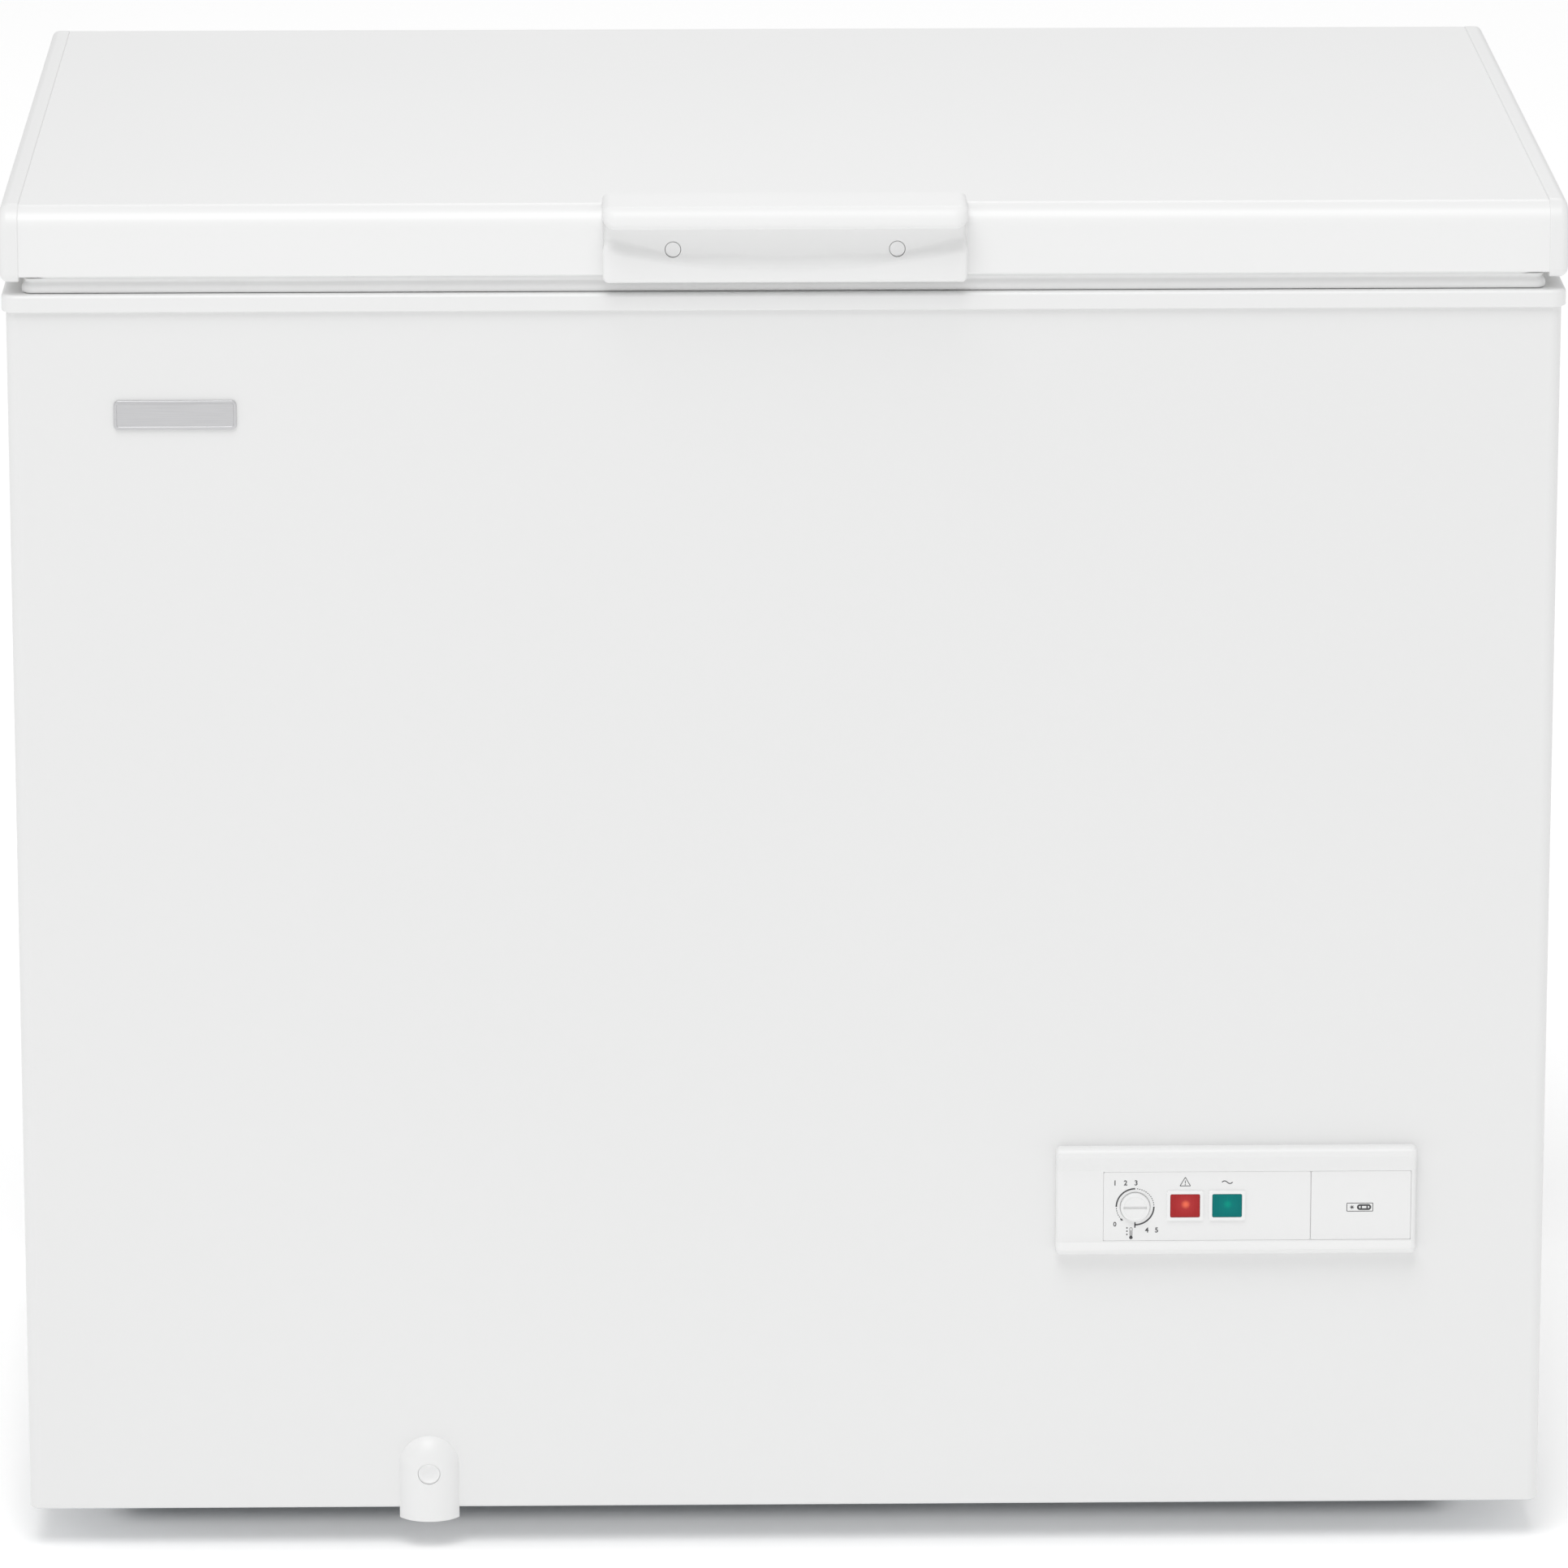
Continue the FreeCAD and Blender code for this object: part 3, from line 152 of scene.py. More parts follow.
def mend(piece, join=2e-6, fill=True):
    workOn(piece)
    bpy.ops.object.mode_set(mode="EDIT")
    bpy.ops.mesh.select_mode(type="VERT")
    bpy.ops.mesh.select_all(action="SELECT")
    bpy.ops.mesh.remove_doubles(threshold=join)
    if fill:
        bpy.ops.mesh.fill_holes(sides=0)
    bpy.ops.mesh.select_all(action="SELECT")
    bpy.ops.mesh.normals_make_consistent(inside=False)
    endEdit()


def modify(piece, kind, **settings):
    workOn(piece)
    modifier = piece.modifiers.new(kind.title(), kind)
    for key, value in settings.items():
        setattr(modifier, key, value)
    bpy.ops.object.modifier_apply(modifier=modifier.name)


def cutWith(piece, cutter):
    modify(piece, "BOOLEAN", object=cutter, operation="DIFFERENCE", solver="EXACT")
    bpy.data.objects.remove(cutter)


def joinPieces(name, pieces):
    deselectAll()
    for piece in pieces:
        piece.select_set(True)
    bpy.context.view_layer.objects.active = pieces[0]
    if len(pieces) > 1:
        bpy.ops.object.join()
    joined = bpy.context.object
    joined.name = joined.data.name = name
    return joined


def finishPiece(piece, body, slotName, material, *replaced, edge=0.0, smooth=32):
    settle(piece)
    if edge:
        modify(piece, "BEVEL", width=edge, segments=2, limit_method="ANGLE",
               angle_limit=math.radians(smooth), use_clamp_overlap=True)
    workOn(piece)
    bpy.ops.object.shade_smooth_by_angle(angle=math.radians(smooth))
    modify(piece, "WEIGHTED_NORMAL", keep_sharp=True, weight=60)
    piece.data.materials.clear()
    piece.data.materials.append(material)
    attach(piece, body)
    if replaced:
        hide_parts(*replaced)


def pieceName(node):
    first, *rest = node.split("_")
    return first + "".join(word.title() for word in rest)


def polishedCopy(node, name=None):
    # the node's own shape, merged into whole faces so that its edges can be rounded
    name = name or pieceName(node)
    piece = bpy.data.objects.new(name, nodes[node].data.copy())
    piece.data.name = name
    bpy.context.scene.collection.objects.link(piece)
    workOn(piece)
    bpy.ops.mesh.customdata_custom_splitnormals_clear()
    bpy.ops.object.mode_set(mode="EDIT")
    bpy.ops.mesh.select_all(action="SELECT")
    bpy.ops.mesh.remove_doubles(threshold=0.01 * mm)
    bpy.ops.mesh.dissolve_limited(angle_limit=math.radians(0.6))
    endEdit()
    return piece


def polishNode(node, slotName, material, body="cabinet", name=None, **finish):
    finishPiece(polishedCopy(node, name), body, slotName, material, node, **finish)


def roundCorners(corners, steps=8):
    # corners are (a, b, radius); a radius makes an arc of steps + 1 points, and 0 makes one point
    made = []
    for i, (a, b, radius) in enumerate(corners):
        here = Vector((a, b))
        if radius <= 0:
            made.append(here)
            continue
        before = (Vector(corners[i - 1][:2]) - here).normalized()
        after = (Vector(corners[(i + 1) % len(corners)][:2]) - here).normalized()
        half = before.angle(after) / 2
        centre = here + (before + after).normalized() * radius / math.sin(half)
        start = here + before * radius / math.tan(half) - centre
        end = here + after * radius / math.tan(half) - centre
        turn = math.pi - 2 * half
        for step in range(steps + 1):
            share = step / steps
            made.append(centre + (start * math.sin((1 - share) * turn) + end * math.sin(share * turn))
                        / math.sin(turn))
    return made


def roundedBox(halfX, halfY, radius, z, steps=10):
    signs = ((-1, -1), (1, -1), (1, 1), (-1, 1))
    corners = [(across * halfX, along * halfY, radius) for across, along in signs]
    loop = [Vector((x, y, z)) for x, y in roundCorners(corners, steps)]
    return loop + loop[:1]


def loft(name, outlines):
    # a grid laid over outlines that have as many points each
    across, along = len(outlines) - 1, len(outlines[0]) - 1
    piece = addShape(name, "grid", x_subdivisions=across, y_subdivisions=along, size=2)
    for point in piece.data.vertices:
        i = round((point.co.x + 1) / 2 * across)
        j = round((point.co.y + 1) / 2 * along)
        point.co = outlines[i][j]
    return piece


def closeToEnds(half, count):
    # places from -half to half that crowd towards both ends
    places = []
    for step in range(count + 1):
        share = 2 * step / count - 1
        places.append(math.copysign(half * (1 - (1 - abs(share)) ** 2), share))
    return places


def drawnBack(fromEnd, radius):
    # how far a rounded end draws back at this distance from it
    inside = max(0.0, radius - fromEnd)
    return radius - math.sqrt(max(0.0, radius ** 2 - inside ** 2))


def wires(name, paths, radius, sides=2):
    # bars along paths, each a list of points and whether it closes
    curve = bpy.data.curves.new(name, "CURVE")
    curve.dimensions = "3D"
    curve.bevel_depth, curve.bevel_resolution = radius, sides
    curve.use_fill_caps, curve.fill_mode = True, "FULL"
    for points, closed in paths:
        spline = curve.splines.new("POLY")
        spline.points.add(len(points) - 1)
        for point, place in zip(spline.points, points):
            point.co = (*place, 1)
        spline.use_cyclic_u = closed
    piece = bpy.data.objects.new(name, curve)
    bpy.context.scene.collection.objects.link(piece)
    workOn(piece)
    bpy.ops.object.convert(target="MESH")
    piece = bpy.context.object
    mend(piece, fill=False)     # welds the end caps
    return piece


def quarter(steps):
    # how far out and how far up a quarter turn has come, at each of its steps
    turns = [math.radians(90 * step / steps) for step in range(steps + 1)]
    return [(1 - math.cos(turn), math.sin(turn)) for turn in turns]


# ---- shader maths ----

class Signal:
    # one output of a material's tree; sums and products on it add Math nodes
    def __init__(self, tree, socket=None):
        self.tree, self.socket = tree, socket

    def add(self, kind, settings=None, values=None, out=0):
        node = self.tree.nodes.new("ShaderNode" + kind)
        for key, value in (settings or {}).items():
            setattr(node, key, value)
        for key, value in (values or {}).items():
            if isinstance(value, Signal):
                self.tree.links.new(value.socket, node.inputs[key])
            else:
                node.inputs[key].default_value = value
        return Signal(self.tree, node.outputs[out] if len(node.outputs) else None)

    def maths(self, operation, *values):
        return self.add("Math", {"operation": operation}, dict(enumerate(values)))

    def __add__(self, other):
        return self.maths("ADD", self, other)

    def __radd__(self, other):
        return self.maths("ADD", other, self)

    def __sub__(self, other):
        return self.maths("SUBTRACT", self, other)

    def __rsub__(self, other):
        return self.maths("SUBTRACT", other, self)

    def __mul__(self, other):
        return self.maths("MULTIPLY", self, other)

    def __pow__(self, other):
        return self.maths("POWER", self, other)


def newMaterial(name, scale=(1, 1, 1)):
    # the material, where to add its nodes, and the place on the object
    material = bpy.data.materials.new(name)
    material.use_nodes = True
    material.node_tree.nodes.clear()
    at = Signal(material.node_tree)
    place = at.add("TexCoord", out="Object")
    return material, at, at.add("Mapping", values={"Vector": place, "Scale": scale})


def noise(at, place, scale, detail=2.0, roughness=0.5):
    values = {"Vector": place, "Scale": scale, "Detail": detail, "Roughness": roughness}
    return at.add("TexNoise", values=values)


def mixColour(at, share, first, second):
    first, second = ((*c, 1) if isinstance(c, tuple) else c for c in (first, second))
    return at.add("Mix", {"data_type": "RGBA"}, {0: share, 6: first, 7: second}, out=2)


def bump(at, height, distance, strength=1.0):
    return at.add("Bump", values={"Height": height, "Distance": distance, "Strength": strength})


def shade(at, **values):
    names = {"colour": "Base Color", "roughness": "Roughness", "metallic": "Metallic", "normal": "Normal",
             "glow": "Emission Color", "glowStrength": "Emission Strength", "specular": "Specular IOR Level"}
    values = {names[key]: (*value, 1) if key in ("colour", "glow") and isinstance(value, tuple) else value
              for key, value in values.items()}
    shader = at.add("BsdfPrincipled", values=values)
    at.add("OutputMaterial", values={"Surface": shader})


def mouldedPlastic(name, colour, roughness=0.36, grain=1500.0, depth=0.02 * mm):
    # satin moulding: faint cloudiness in the colour, fine grain in the surface
    material, at, place = newMaterial(name)
    cloud = noise(at, place, 5.0)
    fine = noise(at, place, grain, 1.0)
    darker = tuple(c * 0.975 for c in colour)
    shade(at, colour=mixColour(at, cloud, darker, colour), roughness=cloud * 0.06 + (roughness - 0.03),
          normal=bump(at, fine, depth, 0.35))
    return material


def paintedSteel(name, colour):
    # gloss coat with orange peel, and the slow waviness of foamed sheet
    material, at, place = newMaterial(name)
    wave = noise(at, place, 2.6, 1.0)
    peel = noise(at, place, 420.0, 2.0)
    darker = tuple(c * 0.982 for c in colour)
    shade(at, colour=mixColour(at, wave, darker, colour), roughness=0.3 + peel * 0.05,
          normal=bump(at, peel + wave * 22.0, 0.03 * mm, 0.5))
    return material


def sealVinyl():
    material, at, place = newMaterial("sealVinyl")
    dusty = noise(at, place, 40.0, 3.0)
    fine = noise(at, place, 900.0, 1.0)
    shade(at, colour=mixColour(at, dusty, (0.87, 0.872, 0.87), (0.90, 0.902, 0.90)),
          roughness=0.42 + dusty * 0.08, normal=bump(at, fine, 0.03 * mm, 0.4))
    return material


def embossedLiner():
    # coated aluminium sheet with a pebbled emboss
    material, at, place = newMaterial("embossedLiner")
    pebble = at.add("TexVoronoi", {"feature": "SMOOTH_F1"},
                    {"Vector": place, "Scale": 260.0, "Smoothness": 0.6}, out="Distance")
    wave = noise(at, place, 4.0, 1.0)
    shade(at, colour=mixColour(at, wave, (0.78, 0.79, 0.80), (0.84, 0.845, 0.85)), metallic=0.15,
          roughness=0.32 + wave * 0.08, normal=bump(at, 1 - pebble, 0.25 * mm, 0.5))
    return material


def galvanisedSheet():
    material, at, place = newMaterial("galvanisedSheet")
    crystal = at.add("TexVoronoi", values={"Vector": place, "Scale": 150.0}, out="Color")
    grey = at.add("RGBToBW", values={0: crystal})
    shade(at, colour=mixColour(at, grey, (0.52, 0.54, 0.56), (0.63, 0.65, 0.67)), metallic=0.85,
          roughness=0.3 + grey * 0.22, normal=bump(at, noise(at, place, 300.0), 0.02 * mm, 0.5))
    return material


def rigidFoam():
    material, at, place = newMaterial("rigidFoam")
    cell = at.add("TexVoronoi", values={"Vector": place, "Scale": 420.0}, out="Distance")
    patch = noise(at, place, 12.0, 4.0)
    shade(at, colour=mixColour(at, patch, (0.72, 0.62, 0.36), (0.84, 0.76, 0.52)), roughness=0.85,
          normal=bump(at, cell, 0.6 * mm, 0.7))
    return material


def metalRod(name, dark, light, roughness, metallic=1.0):
    # drawn or turned metal, with tarnish in patches
    material, at, place = newMaterial(name)
    tarnish = noise(at, place, 55.0, 4.0, 0.6)
    scratch = noise(at, place, 500.0)
    shade(at, colour=mixColour(at, tarnish, dark, light), metallic=metallic,
          roughness=tarnish * 0.16 + roughness, normal=bump(at, scratch, 0.02 * mm, 0.5))
    return material


def blackFinish(name, tone, roughness, grain, depth):
    material, at, place = newMaterial(name)
    dust = noise(at, place, 30.0, 4.0, 0.65)
    fine = noise(at, place, grain, 1.0)
    dark = (tone, tone, tone * 1.05)
    light = (tone * 1.8, tone * 1.8, tone * 1.8)
    shade(at, colour=mixColour(at, dust, dark, light), roughness=dust * 0.15 + roughness,
          normal=bump(at, fine, depth, 0.6))
    return material


def brushedBadge():
    # satin metal brushed along its length
    material, at, place = newMaterial("brushedBadge", (12.0, 900.0, 900.0))
    brush = noise(at, place, 3.0, 3.0)
    shade(at, colour=mixColour(at, brush, (0.50, 0.50, 0.51), (0.66, 0.66, 0.67)), metallic=0.7,
          roughness=0.3 + brush * 0.15, normal=bump(at, brush, 0.02 * mm, 0.4))
    return material


def lampLens(name, centre, deep, bright, glow, offset):
    # translucent cap: a small glowing spot behind fine upright prisms
    material, at, place = newMaterial(name)
    spot = at.add("VectorMath", {"operation": "DISTANCE"},
                  {0: place, 1: tuple(centre + Vector(offset))}, out="Value")
    near = at.add("MapRange", {"interpolation_type": "SMOOTHSTEP"},
                  {0: spot, 1: 0.4 * mm, 2: 3.4 * mm, 3: 1.0, 4: 0.0})
    wide = at.add("MapRange", {"interpolation_type": "SMOOTHSTEP"},
                  {0: spot, 1: 1.5 * mm, 2: 9.0 * mm, 3: 1.0, 4: 0.0})
    prism = at.add("TexWave", {"bands_direction": "X"}, {"Vector": place, "Scale": 320.0}, out="Fac")
    body = mixColour(at, wide * 0.8, deep, bright)
    shade(at, colour=mixColour(at, near * 0.6, body, glow), roughness=0.2 + prism * 0.1, specular=0.12,
          glow=mixColour(at, near, body, glow), glowStrength=0.14, normal=bump(at, prism, 0.06 * mm, 0.5))
    return material


def printInk():
    material, at, place = newMaterial("printInk")
    worn = noise(at, place, 700.0, 3.0)
    shade(at, colour=mixColour(at, worn, (0.045, 0.045, 0.05), (0.09, 0.09, 0.095)),
          roughness=0.45 + worn * 0.1)
    return material


def studioFloor():
    # white sweep, lit a little from itself except close under the cabinet
    material, at, place = newMaterial("studioFloor")
    faint = noise(at, place, 0.8, 2.0)
    axes = [at.add("SeparateXYZ", values={0: place}, out=axis) for axis in (0, 1)]
    axes = [axis.maths("ABSOLUTE", axis) for axis in axes]
    edges = [float(side - stage["shadowInset"]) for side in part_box("cabinet_wrap")[1][:2]]
    beyond = [at.maths("MAXIMUM", axis - edge, 0.0) for axis, edge in zip(axes, edges)]
    away = (beyond[0] ** 2.0 + beyond[1] ** 2.0) ** 0.5
    glow = at.add("MapRange", {"interpolation_type": "SMOOTHSTEP"},
                  {0: away, 1: 0.0, 2: stage["shadowWidth"], 3: 0.0, 4: 1.0})
    shade(at, colour=mixColour(at, faint, (0.93, 0.93, 0.93), (0.95, 0.95, 0.95)), roughness=0.9,
          glow=mixColour(at, glow, (0.0, 0.0, 0.0), (1.0, 1.0, 1.0)), glowStrength=stage["floorGlow"])
    return material


# ---- camera, floor and light ----

stage = {
    "eye": (-0.106, -6.0, 1.975), "pitch": 14.62, "yaw": 1.06, "lens": 222.0, "sensor": 36.0, "clip": 200.0,
    "floorSize": 60.0, "floorGlow": 0.21, "world": 0.62, "seenWorld": 1.02, "shadowInset": 70 * mm,
    "shadowWidth": 32 * mm}
softBoxes = {
    "key": {"place": (-0.8, -3.4, 7.2), "size": 4.5, "power": 226.0},
    "left": {"place": (-6.0, -1.0, 4.2), "size": 3.0, "power": 15.0},
    "right": {"place": (6.0, -0.5, 4.2), "size": 3.0, "power": 12.0},
    "back": {"place": (0.5, 6.0, 4.6), "size": 3.0, "power": 30.0}}


def setStage():
    scene = bpy.context.scene
    scene.view_settings.view_transform = "Standard"
    camera = bpy.data.objects.new("camera", bpy.data.cameras.new("camera"))
    scene.collection.objects.link(camera)
    camera.location = stage["eye"]
    camera.rotation_euler = (math.radians(90 - stage["pitch"]), 0, -math.radians(stage["yaw"]))
    camera.data.lens, camera.data.sensor_width = stage["lens"], stage["sensor"]
    camera.data.clip_end = stage["clip"]
    scene.camera = camera
    floor = addShape("floor", "plane", size=stage["floorSize"])
    floor.data.materials.append(studioFloor())
    world = bpy.data.worlds.new("studio")
    world.use_nodes = True
    world.node_tree.nodes.clear()
    at = Signal(world.node_tree)
    seen = at.add("LightPath", out="Is Camera Ray")
    strength = seen * (stage["seenWorld"] - stage["world"]) + stage["world"]
    sky = at.add("Background", values={"Color": (1, 1, 1, 1), "Strength": strength})
    at.add("OutputWorld", values={"Surface": sky})
    scene.world = world
    middle = (cadBox[0] + cadBox[1]) / 2
    for name, box in softBoxes.items():
        light = bpy.data.lights.new(name + "Light", "AREA")
        light.size, light.energy = box["size"], box["power"]
        lamp = bpy.data.objects.new(name + "Light", light)
        lamp.location = box["place"]
        lamp.rotation_euler = (middle - lamp.location).to_track_quat("-Z", "Y").to_euler()
        scene.collection.objects.link(lamp)


setStage()
print("stage set")

steelPaint = paintedSteel("steelPaint", (0.815, 0.817, 0.815))
lidPaint = paintedSteel("lidPaint", (0.86, 0.862, 0.86))
whiteMoulding = mouldedPlastic("whiteMoulding", (0.84, 0.842, 0.84))
gripMoulding = mouldedPlastic("gripMoulding", (0.87, 0.872, 0.87), 0.46)
panelMoulding = mouldedPlastic("panelMoulding", (0.85, 0.853, 0.852), 0.4, 700.0, 0.05 * mm)
liner = embossedLiner()
seal = sealVinyl()
galvanised = galvanisedSheet()
foam = rigidFoam()
copper = metalRod("copperTube", (0.52, 0.24, 0.13), (0.80, 0.43, 0.28), 0.25)
zinc = metalRod("zincPlate", (0.50, 0.51, 0.52), (0.74, 0.75, 0.77), 0.26)
springSteel = metalRod("springSteel", (0.16, 0.16, 0.17), (0.34, 0.34, 0.36), 0.28)
coatedTube = metalRod("coatedTube", (0.18, 0.19, 0.20), (0.30, 0.31, 0.32), 0.42, 0.5)
blackEnamel = blackFinish("blackEnamel", 0.018, 0.22, 260.0, 0.05 * mm)
blackPlastic = blackFinish("blackPlastic", 0.028, 0.42, 1200.0, 0.04 * mm)
blackRubber = blackFinish("blackRubber", 0.022, 0.62, 700.0, 0.08 * mm)
badgeMetal = brushedBadge()
ink = printInk()
basketVinyl = mouldedPlastic("basketVinyl", (0.86, 0.865, 0.86), 0.28, 300.0, 0.06 * mm)
print("materials made")


# ---- cabinet ----

wrapShape = {
    "corner": 7 * mm, "cornerSteps": 10, "sheet": 0.8 * mm, "hem": 1.6 * mm, "hemSteps": 4,
    "ventMargin": 8 * mm, "ventDepth": 20 * mm}


def makeCabinetWrap():
    # one sheet bent round the front and sides, its bottom edge turned in
    low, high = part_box("cabinet_wrap")
    piece = addBlock("cabinetWrap", low, high)
    roundEdges(piece, wrapShape["corner"], wrapShape["cornerSteps"],
               lambda middle, way: abs(way.z) > 0.9 and middle.y < low.y + mm)
    roundEdges(piece, wrapShape["hem"], wrapShape["hemSteps"],
               lambda middle, way: middle.z < low.z + 0.01 * mm and middle.y < high.y - mm)
    removeFaces(piece, lambda middle, normal: abs(normal.z) > 0.99 or normal.y > 0.99)
    modify(piece, "SOLIDIFY", thickness=wrapShape["sheet"], offset=-1)
    ventLow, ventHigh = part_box("side_vent_grille")
    margin = Vector((wrapShape["ventDepth"], -wrapShape["ventMargin"], -wrapShape["ventMargin"]))
    cutWith(piece, addBlock("ventCutter", ventLow - margin, ventHigh + margin))
    finishPiece(piece, "cabinet", "white_steel", steelPaint, "cabinet_wrap")


trimShape = {
    "plate": 2.5 * mm, "outerRadius": 10 * mm, "lip": 2.2 * mm, "lipLow": 783 * mm, "lipWall": 2.7 * mm,
    "lipEdge": 0.5 * mm, "mouthX": 418 * mm, "mouthY": 252 * mm, "mouthCorner": 46 * mm,
    "mouthRound": 2 * mm}


def makeTopTrim():
    # one moulded ring: outer lip, top face and the collar down to the ledge
    low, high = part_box("top_trim")
    lip, plate, lipLow, wall = (trimShape[key] for key in ("lip", "plate", "lipLow", "lipWall"))
    edge, mouthRound = trimShape["lipEdge"], trimShape["mouthRound"]

    def outside(inset, z):
        return roundedBox(high.x - inset, high.y - inset, trimShape["outerRadius"] - inset, z)

    def mouth(grow, z):
        return roundedBox(trimShape["mouthX"] + grow, trimShape["mouthY"] + grow,
                          trimShape["mouthCorner"] + grow, z)

    loops = [outside(wall, lipLow), outside(edge, lipLow), outside(0.0, lipLow + edge)]
    loops += [outside(lip * out, high.z - lip + lip * up) for out, up in quarter(6)]
    loops += [mouth(mouthRound * (1 - up), high.z - mouthRound * out) for out, up in quarter(6)]
    loops += [mouth(0.0, low.z), mouth(plate, low.z), mouth(plate, high.z - plate),
              outside(wall, high.z - plate)]
    piece = loft("topTrim", loops + loops[:1])
    mend(piece, fill=False)
    finishPiece(piece, "cabinet", "white_moulding", whiteMoulding, "top_trim")


drainCapShape = {
    "turns": 64,
    "dish": ((0.0, 2.1), (2.0, 2.0), (3.6, 1.6), (4.9, 0.85), (5.6, 0.2), (6.0, 0.0), (6.4, 0.02),
             (6.7, 0.16), (6.84, 0.45), (6.84, 2.4), (5.6, 2.4)),
    "neck": 5.6 * mm, "stem": 4.8 * mm, "stemEdge": 1 * mm}


def makeDrainCap():
    # push-in cap that fills its well, turned from a profile with a dished face and a stem
    low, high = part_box("drain_cap")
    middle = (low + high) / 2
    profile = [(radius * mm, low.y + deep * mm) for radius, deep in drainCapShape["dish"]]
    profile += [(drainCapShape["neck"], high.y - drainCapShape["stemEdge"]), (drainCapShape["stem"], high.y),
                (0.0, high.y)]
    around = [2 * math.pi * i / drainCapShape["turns"] for i in range(drainCapShape["turns"] + 1)]
    rings = [[Vector((middle.x + radius * math.cos(turn), y, middle.z + radius * math.sin(turn)))
              for turn in around] for radius, y in profile]
    piece = loft("drainCapPiece", rings)
    mend(piece)
    finishPiece(piece, "drain_cap", "white_moulding", gripMoulding, "drain_cap", smooth=50)


makeCabinetWrap()
polishNode("back_panel", "galvanised", galvanised)
makeTopTrim()
polishNode("tub_liner", "liner_white", liner, smooth=40)
polishNode("base_pan", "galvanised", galvanised, edge=1.2 * mm)
polishNode("compressor_tray", "galvanised", galvanised, edge=1.2 * mm)
polishNode("feet", "black_plastic", blackPlastic, name="cabinetFeet", edge=0.4 * mm)
polishNode("side_vent_grille", "white_moulding", whiteMoulding, edge=0.3 * mm)
polishNode("bay_cover", "galvanised", galvanised, edge=0.25 * mm)
polishNode("cord_gland", "black_plastic", blackPlastic)
polishNode("drain_cover", "white_moulding", whiteMoulding, edge=0.5 * mm)
makeDrainCap()
polishNode("tub_drain_plug", "white_moulding", gripMoulding, "drain_plug", edge=0.5 * mm)
print("cabinet made")


# ---- lid ----

lidShape = {"front": 14 * mm, "back": 5 * mm, "sheet": 0.8 * mm, "lip": 12 * mm, "hem": 1.2 * mm}


def makeLidSkin():
    low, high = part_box("lid_skin")
    piece = addBlock("lidSkin", low, high)
    roundEdges(piece, lidShape["front"], 14, lambda middle, way: abs(way.x) > 0.9
               and middle.y < low.y + mm and middle.z > high.z - mm)
    roundEdges(piece, lidShape["back"], 8, lambda middle, way: abs(way.x) > 0.9
               and middle.y > high.y - mm and middle.z > high.z - mm)
    removeFaces(piece, lambda middle, normal: abs(normal.x) > 0.9 or normal.z < -0.9)
    for side in (-1, 1):   # lips folded in under the front and the back
        edge = low.y if side < 0 else high.y
        pick(piece, "edges", lambda middle, way: middle.z < low.z + 0.01 * mm and abs(middle.y - edge) < mm
             and abs(way.x) > 0.9)
        bpy.ops.mesh.extrude_edges_move(TRANSFORM_OT_translate={"value": (0, -side * lidShape["lip"], 0)})
        endEdit()
    roundEdges(piece, lidShape["hem"], 4, lambda middle, way: middle.z < low.z + 0.01 * mm
               and abs(way.x) > 0.9 and abs(abs(middle.y) - high.y) < 0.1 * mm)
    mend(piece, fill=False)
    modify(piece, "SOLIDIFY", thickness=lidShape["sheet"], offset=-1)
    finishPiece(piece, "lid", "white_steel", lidPaint, "lid_skin")


capShape = {
    "frontTop": 14.8 * mm, "backTop": 9 * mm, "frontLow": 6 * mm, "backLow": 5 * mm, "outer": 5 * mm,
    "inner": 0.7 * mm, "least": 0.2 * mm}


def makeEndCap(hand, side):
    node = "lid_end_cap_" + hand
    low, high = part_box(node)
    out, inn = (high.x, low.x) if side > 0 else (low.x, high.x)
    corners = [(low.y, low.z, capShape["frontLow"]), (low.y, high.z, capShape["frontTop"]),
               (high.y, high.z, capShape["backTop"]), (high.y, low.z, capShape["backLow"])]

    def outline(inset, x):
        moved = [(y + (inset if y < 0 else -inset), z + (inset if z < (low.z + high.z) / 2 else -inset),
                  max(radius - inset, capShape["least"])) for y, z, radius in corners]
        points = [Vector((x, y, z)) for y, z in roundCorners(moved, 12)]
        return points + points[:1]

    inner, outer = capShape["inner"], capShape["outer"]
    loops = [outline(inner * (1 - up), inn + side * inner * over) for over, up in quarter(4)]
    loops += [outline(outer * over, out - side * outer * (1 - up)) for over, up in quarter(8)]
    piece = loft(pieceName(node), loops)
    mend(piece)
    finishPiece(piece, "lid", "white_moulding", whiteMoulding, node)


sealShape = {
    "width": 22 * mm, "corner": 7 * mm, "leastCorner": 0.6 * mm, "edge": 0.5 * mm,
    "half": ((-1.2, 1.0), (-1.4, 0.9), (-2.2, 0.80), (-2.1, 0.72), (-1.2, 0.62), (-0.4, 0.50),
             (0.0, 0.32), (-0.05, 0.16), (-0.5, 0.05), (-1.6, 0.0)),
    "innerEdge": (-6.0, 0.02), "groove": ((-7.5, 0.16), (-9.0, 0.02))}


